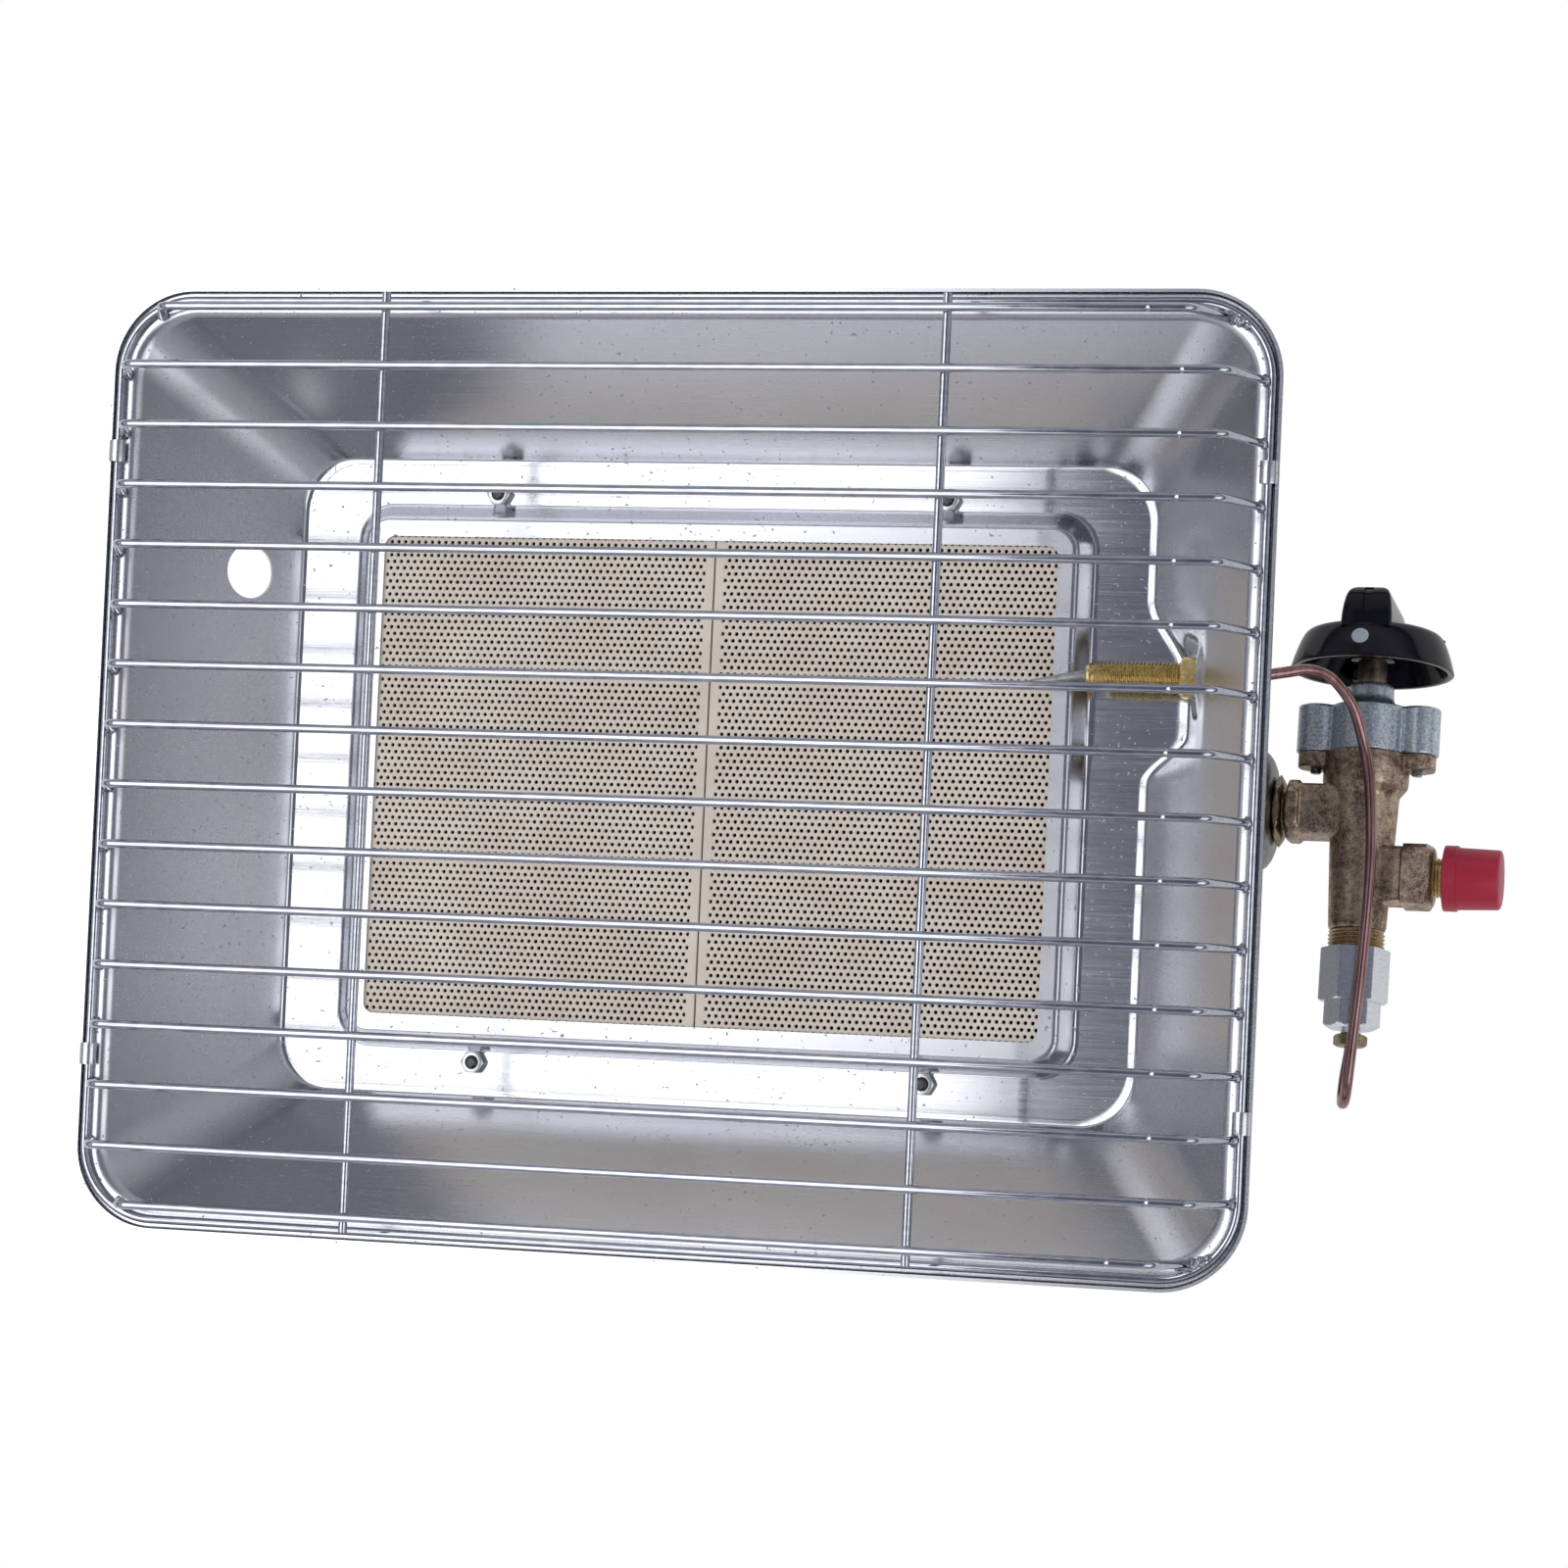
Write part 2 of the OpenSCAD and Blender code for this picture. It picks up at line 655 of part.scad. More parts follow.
module valve_body() {
  thread_r = magnet_thread_d / 2;
  color([0.5, 0.41, 0.29])
  stand() {
    difference() {
      union() {
        along_spindle()
          rotate_extrude($fn = 72)
            polygon([
              [0, -38], [thread_r, -38], [thread_r, -29.8], [7.3, -29.4], [7.3, -28], [8.65, 3], [8.8, 4.5],
              [10.8, 6.6], [10.8, flange_y], [0, flange_y]
            ]);
        along_spindle(flange_y)
          linear_extrude(cover_y - flange_y)
            eared(10.8, ear_x - 0.4, 5, 6.4);
        on_valve() {
          translate([-outlet_end + 1, 0, 0])
            along_x()
              cut_square(6.5, 0.8, outlet_end - 1);
          translate([-outlet_end, 0, 0])
            along_x()
              cut_square(7.6, 3.6, 3.4);
          translate([0, -inlet_drop, 0])
            along_x()
              cut_square(7, 1.3, inlet_seat);
        }
      }
      along_spindle(-6.3)
        cylinder(r = plug_r + run_gap, h = 30, $fn = 56);
      along_spindle(-39)
        cylinder(r = 5.3, h = 29, $fn = 48);
      along_spindle(-20)
        cylinder(r = 3, h = 20, $fn = 48);
      on_valve() {
        translate([-outlet_end - 2, 0, 0])
          along_x()
            cylinder(r = 2, h = outlet_end, $fn = 32);
        translate([0, -inlet_drop, 0])
          along_x()
            cylinder(r = 2.4, h = inlet_seat + 1, $fn = 32);
        translate([7, -inlet_drop, 0])
          along_x()
            cylinder(r = 4.5 + pin_gap, h = inlet_seat, $fn = 48);
        for (s = [-1, 1])
          translate([s * ear_x, 0, 0])
            rotate([-90, 0, 0])
              cylinder(r = 1.5 + pin_gap, h = 20, $fn = 24);
      }
    }
  }
}

module valve_cover() {
  color([0.66, 0.7, 0.75])
  stand()
    difference() {
      union() {
        along_spindle()
          rotate_extrude($fn = 72)
            polygon([
              [0, cover_y], [10, cover_y], [10, cover_top - 0.8], [9.2, cover_top], [7.8, cover_top + 0.5],
              [6.5, cover_top + 1.5], [5.8, cover_top + 3], [5.8, neck_end - 0.5], [5.3, neck_end],
              [0, neck_end]
            ]);
        along_spindle(cover_y)
          linear_extrude(cover_top - cover_y)
            eared(8, ear_x, 5.2, 8);
      }
      along_spindle(14)
        cylinder(r = 7.6, h = 11, $fn = 56);
      along_spindle(20)
        cylinder(r = spindle_r + run_gap, h = 20, $fn = 48);
      for (s = [-1, 1])
        along_spindle(cover_y - 1)
          translate([s * ear_x, 0, 0]) {
            cylinder(r = 1.5 + pin_gap, h = 20, $fn = 24);
            translate([0, 0, cover_top - cover_y - 1.5])
              cylinder(r = 2.9, h = 5, $fn = 32);
          }
    }
}

module cover_screws() {
  color([0.6, 0.61, 0.63])
  stand()
    for (s = [-1, 1])
      along_spindle(cover_top - 2.5)
        translate([s * ear_x, 0, 0])
          difference() {
            union() {
              translate([0, 0, -15.5])
                cylinder(r = 1.5, h = 16, $fn = 24);
              cylinder(r = 2.75, h = 2, $fn = 32);
            }
            translate([-3, -0.4, 1.2])
              cube([6, 0.8, 2]);
          }
}

module taper_plug() {
  color([0.75, 0.6, 0.3])
  stand()
    difference() {
      along_spindle(-6)
        cylinder(r = plug_r, h = plug_top + 6, $fn = 56);
      along_spindle(-7)
        cylinder(r = 2 + run_gap, h = 16, $fn = 32);
      on_valve()
        cylinder(r = 2, h = 14, center = true, $fn = 32);
    }
}

module spindle() {
  shoulder = plug_top + knob_travel + 0.6;
  color([0.6, 0.48, 0.25])
  stand()
    difference() {
      along_spindle()
        rotate_extrude($fn = 56)
          polygon([[0, -14], [2, -14], [2, shoulder], [spindle_r, shoulder], [spindle_r, 42.5], [0, 42.5]]);
      on_valve()
        translate([-5, 34.2, spindle_flat])
          cube([10, 12, 5]);
    }
}

module knob() {
  mouth = knob_d / 2;
  hub_y = neck_end + knob_travel + 0.4;
  color([0.07, 0.07, 0.09])
  stand()
    difference() {
      union() {
        along_spindle()
          rotate_extrude($fn = 96)
            polygon([
              [mouth - 1.5, 36.5], [mouth, 36.5], [mouth - 0.2, 37.6], [mouth - 0.9, 40], [mouth - 1.8, 42.6],
              [mouth - 2.7, 44.6], [mouth - 3.4, 45.6], [mouth - 4.4, 46.3], [mouth - 7.6, 47.1],
              [mouth - 12, 47.8], [0, 48], [0, 44.8], [mouth - 6.2, 44.8], [mouth - 4.8, 43.8],
              [mouth - 2.4, 38.6]
            ]);
        along_spindle(hub_y)
          cylinder(r = 5.6, h = 45.6 - hub_y, $fn = 48);
        on_valve()
          translate([-7, 37.2, 3.4 - mouth])
            cube([2.4, 8, 4.4]);
        on_valve()
          for (a = [0, 90])
            rotate([0, a, 0])
              translate([-mouth + 2.5, 40.2, -0.6])
                cube([knob_d - 5, 5, 1.2]);
        on_valve()
          hull() {
            translate([0, 44.8, 0])
              rotate([-90, 0, 0])
                linear_extrude(0.5)
                  polygon(outline(6.3, 17.4, 1.4));
            translate([0, 52, 0])
              rotate([-90, 0, 0])
                linear_extrude(0.5)
                  polygon(outline(5.6, 16.2, 1.4));
            translate([0, 54.6, 0])
              rotate([-90, 0, 0])
                linear_extrude(0.5)
                  polygon(outline(4.9, 14.2, 1.4));
            translate([0, 55.4, 0])
              rotate([-90, 0, 0])
                linear_extrude(0.5)
                  polygon(outline(4.1, 12.6, 1.4));
          }
      }
      difference() {
        along_spindle(37)
          cylinder(r = spindle_r + pin_gap, h = 5.7, $fn = 48);
        on_valve()
          translate([-5, 36, spindle_flat + 0.05])
            cube([10, 12, 5]);
      }
      on_valve()
        translate([-0.7, 49, 15.4])
          cube([1.4, 5.6, 4]);
      dot_place()
        cylinder(r = dot_r + pin_gap, h = 3, $fn = 32);
    }
}

// The place of the knob's index dot, on the slope of its skirt toward the window side.
module dot_place() {
  on_valve()
    rotate([0, -3, 0])
      translate([0, 41.6, knob_d / 2 - 2])
        rotate([-19, 0, 0])
          children();
}

module knob_dot() {
  color([0.85, 0.9, 0.93])
  stand()
    dot_place()
      cylinder(r = dot_r, h = 0.65, $fn = 32);
}

module magnet_unit() {
  color([0.68, 0.69, 0.7])
  stand()
    along_spindle()
      difference() {
        union() {
          translate([0, 0, -48.2])
            rotate([0, 0, MAGNET_TURN])
              hexagon(magnet_af, 13.5);
          intersection() {
            translate([0, 0, -55])
              rotate([0, 0, MAGNET_TURN])
                hexagon(magnet_af - 2.8, 6.8);
            rotate_extrude($fn = 56)
              polygon([[0, -55], [5.8, -55], [7.6, -53.6], [7.6, -48.2], [0, -48.2]]);
          }
          translate([0, 0, -56.2])
            cylinder(r = 2.6, h = 2, $fn = 32);
        }
        translate([0, 0, -38.2])
          cylinder(r = magnet_thread_d / 2 + pin_gap, h = 6, $fn = 56);
        translate([0, 0, -57])
          cylinder(r = lead_d / 2 + run_gap, h = 3, $fn = 24);
      }
}

module lead_nut() {
  color([0.74, 0.62, 0.3])
  stand()
    along_spindle()
      difference() {
        translate([0, 0, -59.4])
          hexagon(7.5, 3);
        translate([0, 0, -62])
          cylinder(r = lead_d / 2 + run_gap, h = 8, $fn = 24);
      }
}

function spline(p, i, t) =
  let(
    a = p[max(i - 1, 0)],
    b = p[i],
    c = p[i + 1],
    d = p[min(i + 2, len(p) - 1)]
  )
  0.5 * (2 * b + (c - a) * t + (2 * a - 5 * b + 4 * c - d) * t * t + (3 * b - a - 3 * c + d) * t * t * t);

function unit(v) = v / norm(v);

module copper_lead() {
  sides = 8;
  path = concat([for (i = [0 : len(LEAD) - 2], k = [0 : 3]) spline(LEAD, i, k / 4)], [LEAD[len(LEAD) - 1]]);
  last = len(path) - 1;
  rings = [
    for (i = [0 : last])
      let(
        along = unit(path[min(i + 1, last)] - path[max(i - 1, 0)]),
        up = unit(cross(along, [1, 0.2, 0.9])),
        side = cross(along, up)
      )
      [
        for (k = [0 : sides - 1])
          path[i] + lead_d / 2 * (cos(360 * k / sides) * up + sin(360 * k / sides) * side)
      ]
  ];
  color([0.45, 0.25, 0.2])
  stand()
    polyhedron(
      points = [for (ring = rings) each ring],
      faces = concat(
        [[for (k = [0 : sides - 1]) k]],
        [
          for (i = [0 : last - 1], k = [0 : sides - 1])
            each [
              [i * sides + k, (i + 1) * sides + k, (i + 1) * sides + (k + 1) % sides],
              [i * sides + k, (i + 1) * sides + (k + 1) % sides, i * sides + (k + 1) % sides]
            ]
        ],
        [[for (k = [sides - 1 : -1 : 0]) last * sides + k]]
      )
    );
}

module sensor_bushing() {
  color([0.8, 0.65, 0.33])
  stand()
    translate([seat_x, sensor_y, sensor_z])
      along_x()
        rotate_extrude($fn = 48)
          polygon([
            [1.55, -28.55], [bushing_d / 2 - 0.6, -28.55], [bushing_d / 2, -27.95], [bushing_d / 2, 6.35],
            [bushing_d / 2 - 0.6, 6.95], [1.55, 6.95]
          ]);
}

module sensor_nuts() {
  color([0.8, 0.65, 0.33])
  stand()
    for (x = [seat_x - 4.7, seat_x + 0.7])
      translate([x, sensor_y, sensor_z])
        along_x()
          difference() {
            hexagon(sensor_af, 4.7);
            translate([0, 0, -1])
              cylinder(r = bushing_d / 2 + pin_gap, h = 7, $fn = 48);
          }
}

module sensor_probe() {
  color([0.5, 0.5, 0.5])
  stand()
    translate([seat_x - 29.55, sensor_y, sensor_z]) {
      along_x()
        cylinder(r = 1.5, h = 14, $fn = 32);
      translate([0.5, 0, 0])
        rotate([0, 0, 188])
          along_x()
            cylinder(r1 = 1.5, r2 = 0.5, h = 16.2, $fn = 32);
    }
}

module inlet_union() {
  thread_r = inlet_thread_d / 2;
  color([0.72, 0.58, 0.3])
  stand()
    on_valve()
      translate([0, -inlet_drop, 0])
        along_x()
          difference() {
            union() {
              intersection() {
                translate([0, 0, inlet_seat])
                  cut_square(inlet_af / 2, 1.3, 7.5);
                rotate_extrude($fn = 56)
                  polygon([
                    [0, inlet_seat], [9.9, inlet_seat], [9.9, inlet_seat + 6], [7.1, inlet_seat + 7.5],
                    [0, inlet_seat + 7.5]
                  ]);
              }
              rotate_extrude($fn = 56)
                polygon([
                  [0, 7.6], [4.5, 7.6], [4.5, inlet_seat + 7.4], [5, inlet_seat + 7.4], [5, 20.8],
                  [thread_r - 0.8, 20.8], [thread_r, 21.6], [thread_r, 31.6], [thread_r - 0.8, 32.4],
                  [0, 32.4]
                ]);
            }
            translate([0, 0, 6])
              cylinder(r = 2.6, h = 30, $fn = 40);
          }
}

module dust_cap() {
  cap_r = dust_cap_d / 2;
  wall_r = inlet_thread_d / 2 + run_gap;
  color([0.7, 0.13, 0.2])
  stand()
    on_valve()
      translate([0, -inlet_drop, 0])
        along_x()
          rotate_extrude($fn = 72)
            polygon([
              [wall_r, 21.2], [cap_r + 0.5, 21.2], [cap_r + 0.5, 24.6], [cap_r, 24.8],
              [cap_r - 0.3, cap_end - 0.7], [cap_r - 0.9, cap_end], [0, cap_end], [0, 33.4], [wall_r, 33.4]
            ]);
}

tray();
burner_box();
plate_seal();
plate_left();
plate_right();
frame_screws();
frame_nuts();
mixing_tube();
tube_cap();
jet_holder();
lock_nut();
guard_hoop();
guard_bars();
guard_end_bars();
guard_ties();
valve_body();
valve_cover();
cover_screws();
taper_plug();
spindle();
knob();
knob_dot();
magnet_unit();
lead_nut();
copper_lead();
sensor_bushing();
sensor_nuts();
sensor_probe();
inlet_union();
dust_cap();
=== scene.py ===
"""The looks of a portable propane heater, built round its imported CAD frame."""

import math

import bmesh
import bpy
import numpy as np
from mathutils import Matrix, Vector


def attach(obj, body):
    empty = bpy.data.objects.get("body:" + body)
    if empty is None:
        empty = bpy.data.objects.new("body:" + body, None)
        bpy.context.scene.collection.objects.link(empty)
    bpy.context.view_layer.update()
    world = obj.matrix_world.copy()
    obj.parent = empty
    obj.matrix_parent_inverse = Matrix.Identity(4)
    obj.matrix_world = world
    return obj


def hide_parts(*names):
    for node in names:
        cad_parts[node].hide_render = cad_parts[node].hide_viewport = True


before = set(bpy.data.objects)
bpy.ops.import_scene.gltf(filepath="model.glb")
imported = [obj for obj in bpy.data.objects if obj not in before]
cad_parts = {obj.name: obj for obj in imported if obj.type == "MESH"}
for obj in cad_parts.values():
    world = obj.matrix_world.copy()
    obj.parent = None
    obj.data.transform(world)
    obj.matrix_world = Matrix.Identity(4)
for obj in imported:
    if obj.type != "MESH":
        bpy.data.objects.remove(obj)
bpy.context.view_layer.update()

# Sizes in millimetres, measured from the middle of the burner window at the height of its lip.
MID_X = 24.9
BOX_H = 54.0
SHEET = 0.8
FLOOR_Z = -4.7
FLANGE_Z = 38.9
SENSOR_Y = 29.3
SENSOR_Z = 9.0
SEAT_X = 129.05
VALVE_X = 165.8
TUBE_Y = -1.0
TUBE_Z = -27.0
LEAN = math.radians(7.5)
INLET_Y = -15.8
OUTLET_END = 19.2
WIRE = 1.1
HOOP_X = 148.9
HOOP_Y = 117.5
HOOP_R = 19
HOOP_Z = FLANGE_Z + WIRE
BAR_Z = 57.5
BAR_PITCH = 15.17
PLATE_Z = -0.85
HOLE_Y = 51.5
HOLE_Z = 8.9


# ---------------------------------------------------------------- points and meshes


def in_frame(points):
    """Millimetres from the window's middle, as metres in the shared frame."""
    return (np.asarray(points, float) + (-MID_X, 0, BOX_H)) / 1000


def on_valve(points):
    """Places along the outlet (x), along the spindle (y) and across both (z), turned into the tray's own."""
    x, y, z = np.moveaxis(np.asarray(points, float), -1, 0)
    c, s = math.cos(LEAN), math.sin(LEAN)
    return np.stack([VALVE_X + x, TUBE_Y + y * c + z * s, TUBE_Z - y * s + z * c], -1)


def along_x(points, x=0.0, y=0.0, z=0.0):
    """A shape drawn round Z, laid along X from the given point."""
    p = np.asarray(points, float)
    return np.stack([p[..., 2] + x, p[..., 1] + y, -p[..., 0] + z], -1)


def along_spindle(points):
    """A shape drawn round Z, laid along the valve's spindle."""
    p = np.asarray(points, float)
    return on_valve(np.stack([p[..., 0], p[..., 2], -p[..., 1]], -1))


def grid_faces(rows, cols, wrap_rows=False, wrap_cols=True, first=0):
    """Quads between neighbouring points of a grid of rows by cols points numbered from first."""
    i = np.arange(rows if wrap_rows else rows - 1)[:, None]
    j = np.arange(cols if wrap_cols else cols - 1)[None, :]
    ni, nj = (i + 1) % rows, (j + 1) % cols
    a, b, c, d = i * cols + j, i * cols + nj, ni * cols + nj, ni * cols + j
    return np.stack([a, b, c, d], -1).reshape(-1, 4) + first


def mesh_of(name, points, *faces, material, body="heater", stands_for=(), slot=None, sharp=32, merge=True):
    """One closed piece from points in millimetres and arrays of face corners; points in no face are left out."""
    me = bpy.data.meshes.new(name)
    faces = [np.asarray(f) for f in faces if len(f)]
    sides = np.concatenate([np.full(len(f), f.shape[1]) for f in faces])
    used, corners = np.unique(np.concatenate([f.ravel() for f in faces]), return_inverse=True)
    points = in_frame(np.asarray(points, float).reshape(-1, 3)[used])
    me.vertices.add(len(points))
    me.vertices.foreach_set("co", points.ravel())
    me.loops.add(len(corners))
    me.loops.foreach_set("vertex_index", corners.astype(np.int32))
    me.polygons.add(len(sides))
    me.polygons.foreach_set("loop_start", np.cumsum(sides) - sides)
    me.update(calc_edges=True)
    bm = bmesh.new()
    bm.from_mesh(me)
    if merge:
        bmesh.ops.remove_doubles(bm, verts=bm.verts, dist=2e-6)
    bmesh.ops.recalc_face_normals(bm, faces=bm.faces)
    bm.to_mesh(me)
    bm.free()
    me.shade_smooth()
    me.set_sharp_from_angle(angle=math.radians(sharp))
    obj = bpy.data.objects.new(name, me)
    bpy.context.collection.objects.link(obj)
    obj.data.materials.append(material)
    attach(obj, body)
    if stands_for:
        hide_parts(*stands_for)
    return obj


def many(*grids):
    """Several grids, each (points, whether its rows close), as one array of points and one of faces."""
    points, faces, first = [], [], 0
    for grid, wrap in grids:
        rows, cols = grid.shape[:2]
        points.append(grid.reshape(-1, 3))
        faces.append(grid_faces(rows, cols, wrap_rows=wrap, first=first))
        first += rows * cols
    return np.concatenate(points), np.concatenate(faces)


def piece(name, grids, material, stands_for, slot, closed=False, **more):
    """One piece of several grids, each closed on itself along its rows or not, in place of one CAD node."""
    shapes = many(*[(g, closed) for g in grids])
    return mesh_of(name, *shapes, material=material, stands_for=(stands_for,), slot=slot, **more)


def rounded(points, cuts, steps=5, plane=(0, 1)):
    """
    A polyline with its inner corners swapped for quadratic curves.

    Each curve (1 - t)^2 u + 2 t (1 - t) corner + t^2 v begins at the cut's distance, measured in the plane.
    """
    p = np.asarray(points, float)
    cuts = np.broadcast_to(cuts, len(p) - 2)
    t = np.linspace(0, 1, steps + 1)[:, None]
    out = [p[:1]]
    for a, b, c, cut in zip(p, p[1:], p[2:], cuts):
        if cut <= 0:
            out.append(b[None])
            continue
        u = b + (a - b) * min(cut / np.linalg.norm((a - b)[list(plane)]), 0.48)
        v = b + (c - b) * min(cut / np.linalg.norm((c - b)[list(plane)]), 0.48)
        out.append((1 - t) ** 2 * u + 2 * t * (1 - t) * b + t**2 * v)
    return np.concatenate(out + [p[-1:]])


def held(line, margin=0.15, plane=(0, 3)):
    """Adds a point just inside either end of each long stretch, so that smooth shading keeps it flat."""
    out = [line[:1]]
    for a, b in zip(line, line[1:]):
        share = margin / np.linalg.norm((b - a)[list(plane)])
        if share < 1 / 6:
            out.append(a + (b - a) * np.array([[share], [1 - share]]))
        out.append(b[None])
    return np.concatenate(out)


def turned(profile, turns=96):
    """Sweeps (radius, height) points round Z: x = r cos t, y = r sin t, z = height."""
    r, h = np.asarray(profile, float).T
    t = np.arange(turns) * 2 * np.pi / turns
    return np.stack([np.outer(r, np.cos(t)), np.outer(r, np.sin(t)), np.outer(h, np.ones(turns))], -1)


def hexagon(flats, turn=0.0):
    """The six corners of a hexagon of the given size across its flats."""
    a = np.radians(turn) + np.arange(6) * np.pi / 3
    return flats / math.sqrt(3) * np.stack([np.cos(a), np.sin(a)], -1)


def cut_square(half, cut):
    """The eight corners of a square whose corners are cut at 45 degrees."""
    u, v = half, half - cut
    return np.array([(u, -v), (u, v), (v, u), (-v, u), (-u, v), (-u, -v), (-v, -u), (v, -u)])


def straight_sided(corners, soft=0.2, per=8):
    """A closed outline whose corners are quadratic curves that begin at the distance soft from each."""
    p = np.asarray(corners, float)
    back, on = np.roll(p, 1, 0) - p, np.roll(p, -1, 0) - p
    u = p + back * (soft / np.linalg.norm(back, axis=1, keepdims=True))
    v = p + on * (soft / np.linalg.norm(on, axis=1, keepdims=True))
    t = np.linspace(0, 1, 4)[None, :, None]
    curve = (1 - t) ** 2 * u[:, None] + 2 * t * (1 - t) * p[:, None] + t**2 * v[:, None]
    s = (np.arange(1, per) / per)[None, :, None]
    side = v[:, None] + (np.roll(u, -1, 0) - v)[:, None] * s
    return np.concatenate([curve, side], 1).reshape(-1, 2)


def bar(outline, heights, limits, bore=0.0):
    """
    Carries an outline up Z through the given heights, and back down the bore where there is one.

    At each height a point's distance from Z is the outline's or the limit, whichever is less.
    """
    far = np.linalg.norm(outline, axis=1)
    share = np.minimum(1, np.asarray(limits, float)[:, None] / far[None])
    h = np.asarray(heights, float)
    level = np.broadcast_to(h[:, None, None], share.shape + (1,))
    out = np.concatenate([outline[None] * share[..., None], level], -1)
    ring = outline / far[:, None]
    if bore:
        levels = [(bore + 0.3, h[-1]), (bore, h[-1] - 0.3), (bore, h[0] + 0.3), (bore + 0.3, h[0])]
        return np.concatenate([out, np.stack([np.column_stack([ring * r, 0 * far + z]) for r, z in levels])])
    return np.concatenate([out[:1] * (0, 0, 1), out, out[-1:] * (0, 0, 1)])


def nut(flats, height, bore=0.0, turn=0.0, low=0.93, high=0.93, soft=0.2):
    """A hexagon from 0 up whose corners a cone cuts back at either face, to the given share of its flats."""
    rise = np.linspace(0, 1, 6)
    deep = np.minimum(0.45, 0.3 * flats * (1.155 - np.array([low, high])) / height) * height
    heights = np.concatenate([rise * deep[0], height - deep[1] * rise[::-1]])
    full = flats / math.sqrt(3)
    bottom, top = flats / 2 * low, flats / 2 * high
    limits = np.concatenate([bottom + (full - bottom) * rise, full + (top - full) * rise])
    return bar(straight_sided(hexagon(flats, turn), soft), heights, limits, bore)


def swept(path, radius, sides=16, over=(0, 0, 1), loop=False):
    """Carries a circle along a path: each ring is middle + r (cos t side + sin t top), square to the path."""
    path = np.asarray(path, float)
    ahead = np.roll(path, -1, 0) - np.roll(path, 1, 0) if loop else np.gradient(path, axis=0)
    ahead /= np.linalg.norm(ahead, axis=1, keepdims=True)
    side = np.cross(ahead, over)
    side /= np.linalg.norm(side, axis=1, keepdims=True)
    top = np.cross(side, ahead)
    t = np.arange(sides) * 2 * np.pi / sides
    r = np.broadcast_to(radius, len(path))[:, None, None]
    ring = np.cos(t)[None, :, None] * side[:, None] + np.sin(t)[None, :, None] * top[:, None]
    return path[:, None] + r * ring


def closed_ends(grid, rim=0.0):
    """Adds a small rounding and a middle point at both ends of a swept grid, so that it closes."""
    first, last = grid[0].mean(0), grid[-1].mean(0)
    ends = [first + (grid[0] - first) * 0, first + (grid[0] - first) * (1 - rim)]
    tail = [last + (grid[-1] - last) * (1 - rim), last + (grid[-1] - last) * 0]
    return np.concatenate([np.stack(ends), grid, np.stack(tail)])


def spline(points, per=8):
    """A Catmull-Rom cubic through points, with the given number of steps between each pair."""
    p = np.asarray(points, float)
    a, b, c, d = p[np.r_[0, 0 : len(p) - 2]], p[:-1], p[1:], p[np.r_[2 : len(p), len(p) - 1]]
    t = (np.arange(per) / per)[None, :, None]
    a, b, c, d = (v[:, None] for v in (a, b, c, d))
    q = 0.5 * (2 * b + (c - a) * t + (2 * a - 5 * b + 4 * c - d) * t**2 + (3 * b - a - 3 * c + d) * t**3)
    return np.concatenate([q.reshape(-1, p.shape[1]), p[-1:]])


def smooth_step(t):
    """3 t^2 - 2 t^3 between 0 and 1, and flat beyond them."""
    u = np.clip(t, 0, 1)
    return u * u * (3 - 2 * u)


# ---------------------------------------------------------------- materials

# Depth of the relief of cast and drawn metal, and of fine skins and brushed lines, in metres.
RELIEF = 0.00004
FINE_RELIEF = 0.00002

def new_material(name):
    """A material, its node tree and its shader."""
    m = bpy.data.materials.new(name)
    m.use_nodes = True
    tree = m.node_tree
    return m, tree, tree.nodes["Principled BSDF"]


def coordinates(tree, scale=(1, 1, 1), turn=(0, 0, 0)):
    """The object's own coordinates in metres, scaled per axis and turned."""
    place = tree.nodes.new("ShaderNodeTexCoord")
    mapping = tree.nodes.new("ShaderNodeMapping")
    mapping.inputs["Scale"].default_value = scale
    mapping.inputs["Rotation"].default_value = turn
    tree.links.new(place.outputs["Object"], mapping.inputs["Vector"])
    return mapping.outputs["Vector"]


def noise(tree, vector, scale, detail=4.0, rough=0.55):
    """Noise from 0 to 1 with the given number of waves a metre."""
    n = tree.nodes.new("ShaderNodeTexNoise")
    n.inputs["Scale"].default_value = scale
    n.inputs["Detail"].default_value = detail
    n.inputs["Roughness"].default_value = rough
    tree.links.new(vector, n.inputs["Vector"])
    return n.outputs["Fac"]


def maths(tree, operation, *values):
    """A math node of the given operation over links or numbers."""
    node = tree.nodes.new("ShaderNodeMath")
    node.operation = operation
    for k, value in enumerate(values):
        if isinstance(value, (int, float)):
            node.inputs[k].default_value = value
        else:
            tree.links.new(value, node.inputs[k])
    return node.outputs["Value"]


def spread(tree, value, low, high, lo=0.3, hi=0.7):
    """Maps a value from lo..hi onto low..high."""
    m = tree.nodes.new("ShaderNodeMapRange")
    m.inputs["From Min"].default_value = lo
    m.inputs["From Max"].default_value = hi
    m.inputs["To Min"].default_value = low
    m.inputs["To Max"].default_value = high
    tree.links.new(value, m.inputs["Value"])
    return m.outputs["Result"]


def between(tree, value, colours, lo=0.35, hi=0.65):
    """A colour ramp from lo to hi over the given colours."""
    ramp = tree.nodes.new("ShaderNodeValToRGB")
    stops = ramp.color_ramp.elements
    while len(stops) < len(colours):
        stops.new(0.5)
    for k, colour in enumerate(colours):
        stops[k].position = lo + (hi - lo) * k / (len(colours) - 1)
        stops[k].color = (*colour, 1)
    tree.links.new(value, ramp.inputs["Fac"])
    return ramp.outputs["Color"]


